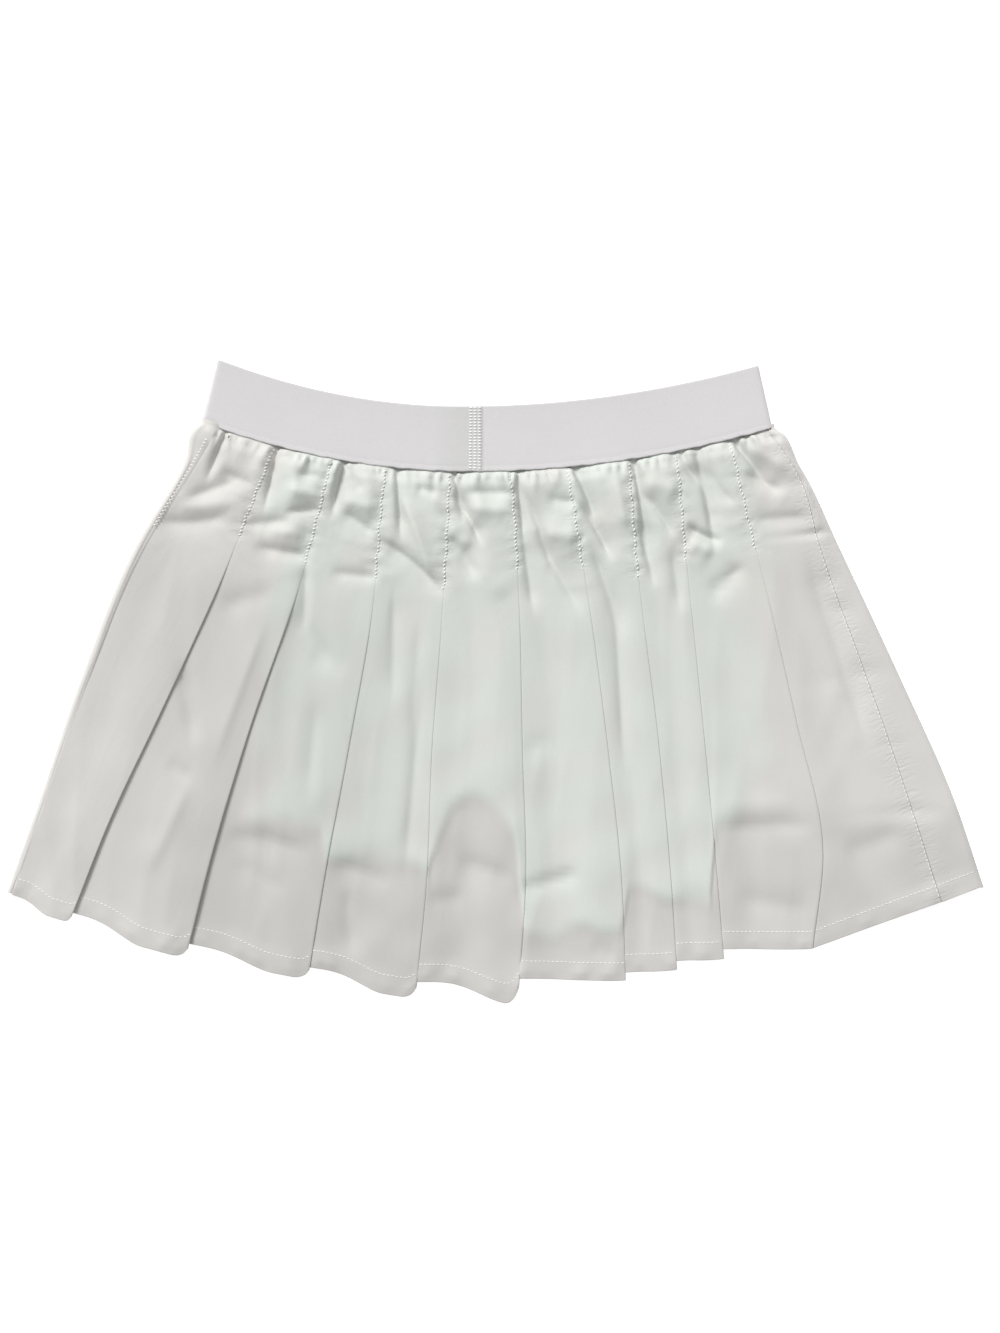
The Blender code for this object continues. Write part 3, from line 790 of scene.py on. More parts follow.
def back_relief(x, y, down):
    """Height of the back's creases: the yoke's fullness, the gathers, the puckers along the
    stitching, the placed creases, crumpling, and the step at the inner layer's edge, with a
    soft lower limit."""
    below = down * LENGTH
    waist_x = (x - SPREAD_MIDDLE) / spread_at(down) + SPREAD_MIDDLE
    relief = gathers(waist_x, below, SMALL_GATHER, GATHER_SEED)
    relief = relief + gathers(waist_x, below, LONG_GATHER, GATHER_SEED + 1)
    relief = relief + gathers(waist_x, LENGTH - below, HEM_GATHER, GATHER_SEED + 2)
    relief = relief + crease_relief(x, y, BACK_CREASES)
    relief = relief + YOKE_FULLNESS * smooth(below / YOKE_FULL_RISE) * (
        1 - smooth((below - YOKE_FULL_TO) / YOKE_FULL_FADE))
    relief = relief - SEAM_TUCK * (1 - smooth((below - SEAM_TUCK_START) / SEAM_TUCK_RUN))
    for number, pleat in enumerate(BACK_PLEATS):
        offset = x - fold_x(pleat, down)
        relief = relief + line_puckers(offset, below, pleat.stitched, FOLD_PUCKER, number)
    seam = x - line_x(RIGHT_SEAM, down)
    relief = relief + line_puckers(seam, below, LENGTH, SEAM_PUCKER, SEAM_PUCKER_SEED)
    yoke = yoke_share(down)
    relief = relief + BROAD_WAVE["height"] * undulation(x, y, BROAD_WAVE["size"], BROAD_WAVE["seed"])
    for kind in (YOKE_CRUMPLE, FINE_CRUMPLE):
        relief = relief + yoke * kind["height"] * crumple(x, y, kind["size"], kind["seed"])
    body = crumple(x, y / BODY_CRUMPLE["drawn_out"], BODY_CRUMPLE["size"], BODY_CRUMPLE["seed"])
    relief = relief + (1 - yoke) * BODY_CRUMPLE["height"] * body
    below_edge = (y - inner_edge(x)) / INNER_STEP_REACH
    relief = relief + INNER_STEP * inner_mask(x, y) * np.exp(-below_edge ** 2)
    hem = smooth((below - LENGTH + HEM_DEPTH + HEM_TURN) / HEM_TURN)
    ripple = HEM_RIPPLE["height"] * undulation(x, y, HEM_RIPPLE["size"], HEM_RIPPLE["seed"])
    relief = relief + hem * (HEM_RISE + ripple)
    return RELIEF_LOWEST + RELIEF_EASE * np.logaddexp(0.0, (relief - RELIEF_LOWEST) / RELIEF_EASE)


def front_hem_y(x):
    """Y of the front's hem: a flat curve that climbs to both sides."""
    return FRONT_HEM_LOWEST + FRONT_HEM_RISE * np.abs(x / FRONT_HEM_HALF) ** FRONT_HEM_POWER


def front_row_y(x, down):
    """Y of a point of the underside, from where it lies between the two edges of the skirt."""
    left, right = left_edge(down), right_edge(down)
    across = (x - left) / (right - left)
    waist_x = mix(LEFT_EDGE[0], RIGHT_EDGE[0], across)
    hem_x = mix(LEFT_EDGE[-1], RIGHT_EDGE[-1], across)
    return row_y(waist_x, front_hem_y(hem_x), down)


def front_surface():
    """The front panel as a grid: from the right side seam on top, round the right edge, and
    along the underside with its pleats to the left side seam. Only its faces have the hollows of
    the gathered waist. The hidden layers stay flat, one reason why layers cross near the band."""
    down = rows_down()
    strip = Strip(down)
    gap = layer(down)
    floor_z = CLOTH_WALL / 2
    right, left = right_edge(down), line_x(LEFT_SEAM, down)
    seam = line_x(RIGHT_SEAM, down) + FRONT_SEAM_GAP
    top = side_rise(down)
    radius = (top - FRONT_EDGE_DROP - floor_z) / 2
    seam_y = row_y(RIGHT_SEAM[0], RIGHT_SEAM_HEM_Y, down)
    strip.add(seam - SEAM_OVERLAP, seam_y, top - SEAM_TURN_DOWN, 1.0)
    share = np.append([[0.0]], np.linspace(0.012, 1.0, 14)[None, :], axis=1)
    x = mix(seam, right - radius, share)
    y = row_y(mix(RIGHT_SEAM[0], RIGHT_EDGE[0], share), mix(RIGHT_SEAM_HEM_Y, RIGHT_HEM_Y, share), down)
    dip = SEAM_DIP * (1 - smooth(share / 0.15)) + FRONT_EDGE_DROP * smooth(share)
    strip_face = strip.add(x, y, top - dip, 1.0 - 0.5 * smooth((share - 0.6) / 0.4))
    angle = turn(math.pi / 2, -math.pi / 2, 8)
    x = right - radius + radius * np.cos(angle)
    strip.add(x, row_y(RIGHT_EDGE[0] + x - right, RIGHT_HEM_Y, down),
              floor_z + radius * (1 + np.sin(angle)), 0.5 * np.clip(np.sin(angle), 0, 1))
    start_x = right - radius
    for number in range(1, FRONT_PLEATS + 2):
        last = number == FRONT_PLEATS + 1
        fold = mix(right, left, number / (FRONT_PLEATS + 1))
        share = np.linspace(0.0, 1.0, 15)[None, 1:]
        x = mix(start_x, fold + (0 if last else gap / 2), share)
        climb = 0.0 if number == 1 else 2 * gap * (1 - smooth(share / FRONT_CLIMB))
        strip.add(x, front_row_y(x, down), floor_z + climb + under_relief(x, down), 0.0)
        if last:
            break
        angle = turn(-math.pi / 2, -math.pi * 1.5, 4)
        x = fold + gap / 2 + gap / 2 * np.cos(angle)
        strip.add(x, front_row_y(x, down), floor_z + gap / 2 * (1 + np.sin(angle)), 0.0)
        angle = np.linspace(-math.pi / 2, math.pi / 2, 5)[None, :]
        x = fold + FRONT_DEPTH - gap / 2 + gap / 2 * np.cos(angle)
        strip.add(x, front_row_y(x, down), floor_z + gap * 1.5 + gap / 2 * np.sin(angle), 0.0)
        start_x = fold
    x, y, z, follow = strip.arrays()
    return Surface(x, y, z + follow * back_relief(x, y, down), [strip_face])


def under_relief(x, down):
    """Soft hollows of the underside near the gathered waist, never below the floor."""
    below = down * LENGTH
    return FRONT_HOLLOWS * gathers(x / spread_at(down), below, LONG_GATHER, GATHER_SEED + 5)


def band_down():
    """Shares down the waistband of its rows of points: close at its edges."""
    return np.concatenate((np.linspace(0.0, 0.05, 3), np.linspace(0.1, 0.88, 16),
                           (0.91, 0.925, 0.94, 0.955, 0.98, 1.0)))


def band_surface():
    """The waistband as a closed ring of columns: across the top layer, round the right end,
    back underneath and round the left end. Rows run from its top edge to the waist seam. The
    left end of the elastic laps over the right one at the join, one wall higher."""
    down = band_down()[:, None]
    rise = mix(BAND_RISE_TOP, BAND_RISE_SEAM, down ** BAND_RISE_POWER)
    floor_z = ELASTIC_WALL / 2
    radius = (rise - floor_z) / 2
    left, right = mix(BAND_TOP[0], BAND_LOW[0], down), mix(BAND_TOP[1], BAND_LOW[1], down)
    share = np.linspace(0.0, 1.0, 92)[None, :]
    across = np.concatenate((mix(left + radius, JOIN_X - JOIN_GAP, share),
                             mix(JOIN_X + JOIN_GAP, right - radius, share)), axis=1)
    lapped = (across < JOIN_X) * (1.0 - smooth((JOIN_X - across) / (JOIN_SLOPE * JOIN_LAP)))
    wave = BAND_WAVE["height"] * undulation(across, down * BAND_HEIGHT, BAND_WAVE["size"],
                                            BAND_WAVE["seed"])
    edge_line = -SELVEDGE_DEPTH * np.exp(-((down - SELVEDGE) / SELVEDGE_WIDTH) ** 2)
    angle = turn(math.pi / 2, -math.pi / 2, 8)[:, :-1]
    x = np.concatenate((across, right - radius + radius * np.cos(angle), across[:, ::-1],
                        left + radius - radius * np.cos(angle)), axis=1)
    z = np.concatenate((rise + wave + edge_line + JOIN_STEP * lapped,
                        floor_z + radius * (1 + np.sin(angle)),
                        np.broadcast_to(floor_z, across.shape),
                        floor_z + radius * (1 - np.sin(angle))), axis=1)
    y = mix(edge_y(x, BAND_TOP_VERTEX, BAND_TOP_BEND), waist_y(x), down)
    y = y + down ** 8 * BAND_RIPPLE * np.sin(x / 1.9) * np.sin(x / 7.3)
    return Surface(x, y, z, [(0, across.shape[1] - 1)])


# Meshes

def points_of(surface):
    return np.stack((surface.x, surface.y, surface.z), axis=-1)


def panel_cut(near_seam, far_edge, far_seam, pleats, depth_waist, depth_hem, length):
    """Width, length and area in metres of a panel as cut. It reaches from its seam on one side of
    the skirt, round that edge, to its seam on the other side, and each pleat takes up twice its
    depth. The cut is a trapezium between its widths at the waist and at the hem."""
    spans = [abs(near_seam[k] - far_edge[k]) + abs(far_seam[k] - far_edge[k]) for k in (0, -1)]
    waist = spans[0] + 2 * pleats * depth_waist
    hem = spans[1] + 2 * pleats * depth_hem
    return hem * MM, length * MM, (waist + hem) / 2 * length * MM * MM


def front_length():
    """Mean length of the front panel, from the waist seam to the hem, at its folds and edges."""
    share = np.linspace(0.0, 1.0, FRONT_PLEATS + 2)
    seam = row_y(mix(RIGHT_EDGE[0], LEFT_SEAM[0], share), 0.0, 0.0)
    hem = front_hem_y(mix(RIGHT_EDGE[-1], LEFT_SEAM[-1], share))
    return float(np.mean(seam - hem))


def sheet_mesh(name, surface, closed):
    """A mesh of quads through a grid of points, with a UV map in metres of cloth: along the
    middle row across, and down one column."""
    points = points_of(surface) * MM
    rows, columns = points.shape[:2]
    index = np.arange(rows * columns).reshape(rows, columns)
    here, after = (index, np.roll(index, -1, axis=1)) if closed else (index[:, :-1], index[:, 1:])
    quads = np.stack((here[:-1], here[1:], after[1:], after[:-1]), axis=-1).reshape(-1, 4)
    mesh = bpy.data.meshes.new(name)
    mesh.vertices.add(rows * columns)
    mesh.vertices.foreach_set("co", points.reshape(-1).astype(np.float32))
    mesh.loops.add(len(quads) * 4)
    mesh.loops.foreach_set("vertex_index", quads.reshape(-1).astype(np.int32))
    mesh.polygons.add(len(quads))
    mesh.polygons.foreach_set("loop_start", np.arange(0, len(quads) * 4, 4, dtype=np.int32))
    middle = points[rows // 2]
    across = np.linalg.norm(np.diff(middle, axis=0, append=middle[:1]), axis=-1)
    along = np.linalg.norm(np.diff(points[:, columns // 3], axis=0), axis=-1)
    u = np.concatenate(([0.0], np.cumsum(across)))
    v = np.concatenate(([0.0], np.cumsum(along)))
    row, column = np.divmod(quads, columns)
    wraps = closed & (column == 0) & (np.arange(4)[None, :] >= 2)
    uv = np.stack((u[np.where(wraps, columns, column)], v[row]), axis=-1)
    mesh.uv_layers.new(name="cloth").data.foreach_set("uv", uv.reshape(-1).astype(np.float32))
    mesh.update(calc_edges=True)
    mesh.validate()
    mesh.shade_smooth()
    return mesh


def add_attribute(mesh, name, values):
    values = np.broadcast_to(values, (values.shape[0], len(mesh.vertices) // values.shape[0]))
    mesh.attributes.new(name, "FLOAT", "POINT").data.foreach_set(
        "value", values.reshape(-1).astype(np.float32))


def add_piece(name, mesh, material, node=""):
    """Link a finished mesh, with its material and ride, and hide the CAD node it stands for."""
    piece = bpy.data.objects.new(name, mesh)
    bpy.context.scene.collection.objects.link(piece)
    mesh.materials.append(material)
    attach(piece, "root")
    if node:
        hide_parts(node)
    return piece


def thicken(piece, wall):
    solid = piece.modifiers.new("Cloth thickness", "SOLIDIFY")
    solid.thickness = wall
    solid.offset = 0.0


# Stitches

def stitch_mesh(name, points, along, up, length, radius):
    """Thread stitches in one mesh: at each point a short six-sided tube, thin at both ends where
    it dips into the cloth, laid out by its direction, the cloth's normal and their product."""
    rings = np.array((-0.5, -0.34, 0.0, 0.34, 0.5)) * length
    widths = np.array((0.2, 0.85, 1.0, 0.85, 0.2)) * radius
    heights = np.array((-0.8, 0.2, 0.5, 0.2, -0.8)) * radius
    angles = np.arange(6) * math.tau / 6
    sideways = np.cross(up, along)
    local = np.stack((np.repeat(rings, 6), (widths[:, None] * np.cos(angles)).ravel(),
                      (heights[:, None] + widths[:, None] * np.sin(angles)).ravel()), axis=-1)
    frames = np.stack((along, sideways, up), axis=1)
    vertices = points[:, None, :] + np.einsum("va,saw->svw", local, frames)
    ring, side = np.divmod(np.arange(24), 6)
    after = (side + 1) % 6
    tube = np.stack((ring * 6 + side, ring * 6 + after, ring * 6 + 6 + after, ring * 6 + 6 + side), -1)
    caps = np.array(((5, 4, 3, 2), (5, 2, 1, 0), (24, 25, 26, 27), (24, 27, 28, 29)))
    one = np.concatenate((tube, caps))
    faces = (one[None] + 30 * np.arange(len(points))[:, None, None]).reshape(-1, 4)
    mesh = bpy.data.meshes.new(name)
    mesh.from_pydata((vertices.reshape(-1, 3) * MM).tolist(), [], faces.tolist())
    mesh.shade_smooth()
    return mesh


def on_surface(surface, rows, columns, slant=0.0):
    """Points of a surface at fractional rows and columns, with the direction down the rows,
    turned by a slant towards the next column, and the normal."""
    grid = points_of(surface)
    rows, columns = np.broadcast_arrays(rows, columns)
    row = np.clip(rows.astype(int), 0, grid.shape[0] - 2)
    column = np.clip(columns.astype(int), 0, grid.shape[1] - 2)
    fr, fc = (rows - row)[:, None], (columns - column)[:, None]
    a, b = grid[row, column], grid[row, column + 1]
    c, d = grid[row + 1, column], grid[row + 1, column + 1]
    point = mix(mix(a, b, fc), mix(c, d, fc), fr)
    down = mix(c - a, d - b, fc)
    normal = np.cross(down, mix(b - a, d - c, fr))
    normal /= np.linalg.norm(normal, axis=1, keepdims=True)
    down /= np.linalg.norm(down, axis=1, keepdims=True)
    across = np.cross(normal, down)
    turned = math.cos(slant) * down + math.sin(slant) * across
    return point, turned, normal


def evenly(values, pitch, first, last):
    """Fractional indices at which rising values reach first, first + pitch and so on to last."""
    targets = np.arange(first, last, pitch)
    return np.interp(targets, values, np.arange(len(values)))


def joined(parts):
    return [np.concatenate(column) for column in zip(*parts)]


def fold_stitches(surface, face, stitched, first, inset):
    """A row of slanted stitches down one fold, "inset" columns in from its face's last column."""
    below = rows_down()[:, 0] * LENGTH
    rows = evenly(below, STITCH_PITCH, first, stitched)
    return on_surface(surface, rows, np.full(len(rows), face[1] - inset), FOLD_SLANT)


def hem_stitches(surface, face):
    """A row of stitches across one face, the hem's depth above its edge."""
    down = rows_down()[:, 0]
    row = np.interp(1.0 - HEM_DEPTH / LENGTH, down, np.arange(len(down)))
    line = points_of(surface)[int(row), face[0]:face[1] + 1]
    run = np.concatenate(([0.0], np.cumsum(np.linalg.norm(np.diff(line, axis=0), axis=1))))
    columns = face[0] + evenly(run, HEM_PITCH, 1.5, run[-1] - 0.5)
    return on_surface(surface, np.full(len(columns), row), columns, math.pi / 2)


# Materials

def add_node(tree, kind, x=0, y=0, **settings):
    """Add a shader node at a place in its tree, with some of its settings."""
    made = tree.nodes.new(kind)
    made.location = (x, y)
    for key, value in settings.items():
        setattr(made, key, value)
    return made


def calculate(tree, operation, a, b, x=0, y=0):
    """A Math node on two inputs, each a socket or a plain number."""
    made = add_node(tree, "ShaderNodeMath", x, y, operation=operation)
    for socket, value in zip(made.inputs, (a, b)):
        if isinstance(value, bpy.types.NodeSocket):
            tree.links.new(value, socket)
        else:
            socket.default_value = value
    return made.outputs[0]


def new_group(name, inputs, outputs):
    """A shader node group with named number inputs and outputs, its entry and its exit."""
    group = bpy.data.node_groups.new(name, "ShaderNodeTree")
    for socket in inputs:
        group.interface.new_socket(socket, in_out="INPUT", socket_type="NodeSocketFloat")
    for socket in outputs:
        group.interface.new_socket(socket, in_out="OUTPUT", socket_type="NodeSocketFloat")
    return group, add_node(group, "NodeGroupInput", -1000), add_node(group, "NodeGroupOutput", 600)


def weave_group():
    """Height of a weave: sine across times sine along, on the cloth's own UV map in metres, with
    a slow wander that gives uneven threads."""
    name = "Woven threads"
    if name in bpy.data.node_groups:
        return bpy.data.node_groups[name]
    group, entry, leave = new_group(name, ("Across pitch", "Along pitch", "Unevenness"), ("Height",))
    uv = add_node(group, "ShaderNodeUVMap", -1000, -200, uv_map="cloth")
    parts = add_node(group, "ShaderNodeSeparateXYZ", -800, -200)
    group.links.new(uv.outputs[0], parts.inputs[0])
    waves = []
    for axis, socket in (("X", "Across pitch"), ("Y", "Along pitch")):
        turns = calculate(group, "DIVIDE", parts.outputs[axis], entry.outputs[socket], -600)
        angle = calculate(group, "MULTIPLY", turns, math.tau, -450)
        waves.append(calculate(group, "SINE", angle, 0.0, -300))
    slub = add_node(group, "ShaderNodeTexNoise", -500, -500)
    slub.inputs["Scale"].default_value = 900.0
    group.links.new(uv.outputs[0], slub.inputs["Vector"])
    product = calculate(group, "MULTIPLY", waves[0], waves[1], -100)
    uneven = calculate(group, "MULTIPLY", slub.outputs["Fac"], entry.outputs["Unevenness"], -100, -300)
    group.links.new(calculate(group, "ADD", product, uneven, 200), leave.inputs["Height"])
    return group


def crumple_group():
    """Height of fine crumpling on the cloth's own UV map: minus the distance of a noise from its
    middle value, so that crisp creases wander where the noise crosses it."""
    name = "Fine crumpling"
    if name in bpy.data.node_groups:
        return bpy.data.node_groups[name]
    group, entry, leave = new_group(name, ("Across size", "Along size"), ("Height",))
    uv = add_node(group, "ShaderNodeUVMap", -1000, -200, uv_map="cloth")
    parts = add_node(group, "ShaderNodeSeparateXYZ", -800, -200)
    group.links.new(uv.outputs[0], parts.inputs[0])
    place = add_node(group, "ShaderNodeCombineXYZ", -450, -200)
    for axis, socket in (("X", "Across size"), ("Y", "Along size")):
        share = calculate(group, "DIVIDE", parts.outputs[axis], entry.outputs[socket], -620)
        group.links.new(share, place.inputs[axis])
    noise = add_node(group, "ShaderNodeTexNoise", -280, -200)
    noise.inputs["Scale"].default_value = 1.0
    noise.inputs["Detail"].default_value = 2.5
    noise.inputs["Distortion"].default_value = 0.5
    group.links.new(place.outputs[0], noise.inputs["Vector"])
    centred = calculate(group, "SUBTRACT", noise.outputs["Fac"], 0.5, -100)
    away = calculate(group, "ABSOLUTE", centred, 0.0, 50)
    group.links.new(calculate(group, "MULTIPLY", away, -2.0, 200), leave.inputs["Height"])
    return group


def mottling_group():
    """A tone near 1 that varies over the piece: broad and fine noise on object coordinates."""
    name = "Mottled tone"
    if name in bpy.data.node_groups:
        return bpy.data.node_groups[name]
    group, entry, leave = new_group(name, ("Broad", "Fine"), ("Tone",))
    place = add_node(group, "ShaderNodeTexCoord", -1000, -200)
    total = 1.0
    for scale, socket, x in ((26.0, "Broad", -600), (900.0, "Fine", -300)):
        noise = add_node(group, "ShaderNodeTexNoise", x, -200)
        noise.inputs["Scale"].default_value = scale
        noise.inputs["Detail"].default_value = 3.0
        group.links.new(place.outputs["Object"], noise.inputs["Vector"])
        centred = calculate(group, "SUBTRACT", noise.outputs["Fac"], 0.5, x + 150)
        scaled = calculate(group, "MULTIPLY", centred, entry.outputs[socket], x + 150, 200)
        total = calculate(group, "ADD", scaled, total, x + 300, 200)
    group.links.new(total, leave.inputs["Tone"])
    return group


def base_material(name, roughness, sheen, specular):
    """A new material with its constants set on its shader, and its tree."""
    material = bpy.data.materials.new(name)
    material.use_nodes = True
    shader = material.node_tree.nodes["Principled BSDF"]
    shader.inputs["Roughness"].default_value = roughness
    shader.inputs["Sheen Weight"].default_value = sheen
    shader.inputs["Sheen Roughness"].default_value = 0.4
    shader.inputs["Specular IOR Level"].default_value = specular
    return material, material.node_tree, shader


def tone_colour(tree, shader, colour, broad, fine):
    """Feed a colour, a socket or a plain one, through the mottled tone into the base colour."""
    mottle = add_node(tree, "ShaderNodeGroup", -700, 300, node_tree=mottling_group())
    mottle.inputs["Broad"].default_value = broad
    mottle.inputs["Fine"].default_value = fine
    tone = add_node(tree, "ShaderNodeVectorMath", -300, 200, operation="SCALE")
    if isinstance(colour, bpy.types.NodeSocket):
        tree.links.new(colour, tone.inputs[0])
    else:
        tone.inputs[0].default_value = colour[:3]
    tree.links.new(mottle.outputs["Tone"], tone.inputs["Scale"])
    tree.links.new(tone.outputs[0], shader.inputs["Base Color"])


def bump(tree, shader, height, distance, strength):
    made = add_node(tree, "ShaderNodeBump", -250, -300)
    made.inputs["Strength"].default_value = strength
    made.inputs["Distance"].default_value = distance
    tree.links.new(height, made.inputs["Height"])
    tree.links.new(made.outputs["Normal"], shader.inputs["Normal"])


def threads(tree, across, along, unevenness):
    """The weave group with its own thread pitches in millimetres."""
    weave = add_node(tree, "ShaderNodeGroup", -900, -300, node_tree=weave_group())
    for socket, value in (("Across pitch", across * MM), ("Along pitch", along * MM),
                          ("Unevenness", unevenness)):
        weave.inputs[socket].default_value = value
    return weave.outputs["Height"]


def crumpling(tree, kind, y):
    """The crumpling group with one kind's sizes and height, scaled by its mesh attribute."""
    made = add_node(tree, "ShaderNodeGroup", -1100, y, node_tree=crumple_group())
    made.inputs["Across size"].default_value = kind.across * MM
    made.inputs["Along size"].default_value = kind.along * MM
    where = add_node(tree, "ShaderNodeAttribute", -1100, y - 160, attribute_name=kind.mask)
    amount = calculate(tree, "MULTIPLY", where.outputs["Fac"], kind.height, -900, y - 160)
    return calculate(tree, "MULTIPLY", made.outputs["Height"], amount, -750, y)


def pleated_cloth():
    """White plain-woven cloth: fine threads, crumpled in the yoke and where it is sewn, and a
    cooler tint where the inner layer shows through."""
    if "white_pleated_cloth" in bpy.data.materials:
        return bpy.data.materials["white_pleated_cloth"]
    looks = bpy.context.scene.skirt_looks
    material, tree, shader = base_material(
        "white_pleated_cloth", roughness=0.62, sheen=0.08, specular=0.15)
    shows = add_node(tree, "ShaderNodeAttribute", -900, 500, attribute_name="inner_layer")
    colour = add_node(tree, "ShaderNodeMix", -700, 400, data_type="RGBA")
    tree.links.new(shows.outputs["Fac"], colour.inputs[0])
    colour.inputs[6].default_value = (*looks.cloth, 1.0)
    colour.inputs[7].default_value = (*looks.lined, 1.0)
    # The tone attribute paints shade into the colour under the yoke, and dulls the cloth that the inner
    # layer doesn't back
    tone = add_node(tree, "ShaderNodeAttribute", -700, 650, attribute_name="tone")
    toned = add_node(tree, "ShaderNodeVectorMath", -500, 500, operation="SCALE")
    tree.links.new(colour.outputs[2], toned.inputs[0])
    tree.links.new(tone.outputs["Fac"], toned.inputs["Scale"])
    tone_colour(tree, shader, toned.outputs[0], broad=0.07, fine=0.06)
    weave = threads(tree, across=0.30, along=0.34, unevenness=1.6)
    height = calculate(tree, "MULTIPLY", weave, WEAVE_RELIEF, -600, -300)
    for number, kind in enumerate(CLOTH_CRUMPLING):
        part = crumpling(tree, kind, -600 - 350 * number)
        height = calculate(tree, "ADD", height, part, -500, -300 - 60 * number)
    bump(tree, shader, height, distance=MM, strength=1.0)
    return material


def knitted_elastic():
    """White elastic tape: close crosswise ribs, a little soft sheen, slightly pink."""
    if "white_elastic" in bpy.data.materials:
        return bpy.data.materials["white_elastic"]
    looks = bpy.context.scene.skirt_looks
    material, tree, shader = base_material(
        "white_elastic", roughness=0.72, sheen=0.16, specular=0.25)
    # Painted shade on the band to the left of its join
    lap = add_node(tree, "ShaderNodeAttribute", -900, 500, attribute_name="lap")
    colour = add_node(tree, "ShaderNodeMix", -500, 400, data_type="RGBA")
    tree.links.new(lap.outputs["Fac"], colour.inputs[0])
    colour.inputs[6].default_value = (*looks.elastic, 1.0)
    colour.inputs[7].default_value = (*looks.elastic_lap_painted_shade, 1.0)
    tone_colour(tree, shader, colour.outputs[2], broad=0.05, fine=0.10)
    ribs = threads(tree, across=0.9, along=0.6, unevenness=0.9)
    bump(tree, shader, ribs, distance=0.12 * MM, strength=0.6)
    return material


def spun_thread():
    """White sewing thread with a soft gloss."""
    if "white_thread" in bpy.data.materials:
        return bpy.data.materials["white_thread"]
    material, tree, shader = base_material(
        "white_thread", roughness=0.45, sheen=0.05, specular=0.4)
    tone_colour(tree, shader, bpy.context.scene.skirt_looks.thread, broad=0.0, fine=0.16)
    return material


def lit_acrylic():
    """White acrylic of a table that is lit faintly from below, so that shadows on it are pale."""
    material, tree, shader = base_material("pale_floor", roughness=0.9, sheen=0.0, specular=0.1)
    shader.inputs["Emission Color"].default_value = (1.0, 1.0, 1.0, 1.0)
    shader.inputs["Emission Strength"].default_value = bpy.context.scene.skirt_stage.glow
    tone_colour(tree, shader, bpy.context.scene.skirt_stage.floor, broad=0.0, fine=0.01)
    return material


# Settings

class SkirtLooks(bpy.types.PropertyGroup):
    """Thicknesses and colours of the skirt's cloth, elastic and thread."""

    cloth_wall: bpy.props.FloatProperty(
        name="Cloth thickness", description="Thickness of the pleated cloth",
        default=CLOTH_WALL * MM, unit="LENGTH")
    elastic_wall: bpy.props.FloatProperty(
        name="Elastic thickness", description="Thickness of the waistband's elastic",
        default=ELASTIC_WALL * MM, unit="LENGTH")
    thread_radius: bpy.props.FloatProperty(
        name="Thread radius", description="Half the thickness of a stitch",
        default=THREAD_RADIUS, min=0.05, max=1.0)
    cloth: bpy.props.FloatVectorProperty(
        name="Cloth", description="Colour of a single layer of cloth",
        default=(0.615, 0.600, 0.575), subtype="COLOR", size=3, min=0.0, max=1.0)
    lined: bpy.props.FloatVectorProperty(
        name="Lined cloth", description="Colour where the inner layer shows through",
        default=(0.600, 0.635, 0.592), subtype="COLOR", size=3, min=0.0, max=1.0)
    elastic: bpy.props.FloatVectorProperty(
        name="Elastic", description="Colour of the waistband",
        default=(0.655, 0.642, 0.650), subtype="COLOR", size=3, min=0.0, max=1.0)
    # Painted shade: the darker colour given to the band to the left of its join
    elastic_lap_painted_shade: bpy.props.FloatVectorProperty(
        name="Elastic lap", description="Colour of the waistband where its ends lie double",
        default=(0.600, 0.598, 0.590), subtype="COLOR", size=3, min=0.0, max=1.0)
    thread: bpy.props.FloatVectorProperty(
        name="Thread", description="Colour of the sewing thread",
        default=(0.90, 0.90, 0.88), subtype="COLOR", size=3, min=0.0, max=1.0)


class SkirtStage(bpy.types.PropertyGroup):
    """Floor, lights and camera."""

    floor: bpy.props.FloatVectorProperty(
        name="Floor", description="Colour of the floor",
        default=(0.93, 0.93, 0.93), subtype="COLOR", size=3, min=0.0, max=1.0)
    glow: bpy.props.FloatProperty(
        name="Glow", description="Strength of the light from under the floor", default=0.60, min=0.0)
    ambient: bpy.props.FloatProperty(
        name="Ambient", description="Strength of the light from all round", default=0.52, min=0.0)
    key: bpy.props.FloatProperty(
        name="Key", description="Strength of the broad light from the waist's side",
        default=3.1, min=0.0)
    key_softness: bpy.props.FloatProperty(
        name="Key softness", description="Angle that the key light covers",
        default=math.radians(22.0), subtype="ANGLE")
    camera_height: bpy.props.FloatProperty(
        name="Camera height", description="Height of the camera over the floor",
        default=1.61, unit="LENGTH")
    lens: bpy.props.FloatProperty(
        name="Lens", description="Focal length of the camera in millimetres", default=72.6)


# Operators

class MakeWaistband(bpy.types.Operator):
    """Make the elastic waistband, one flattened loop with its ends lapped at the back"""

    bl_idname = "skirt.make_waistband"
    bl_label = "Waistband"
    bl_options = {"REGISTER", "UNDO"}

    def execute(self, context):
        surface = band_surface()
        mesh = sheet_mesh("waistband_elastic", surface, closed=True)
        # Painted shade on the band to the left of its join: full over one lap's width, then fading
        # further left
        run = (surface.x - JOIN_X + JOIN_SHADE_START * JOIN_LAP) / (JOIN_SHADE_FADE * JOIN_LAP)
        lap = (surface.x < JOIN_X) * smooth(run)
        add_attribute(mesh, "lap", lap)
        piece = add_piece("waistband_elastic", mesh, knitted_elastic(), "waistband")
        thicken(piece, context.scene.skirt_looks.elastic_wall)
        return {"FINISHED"}


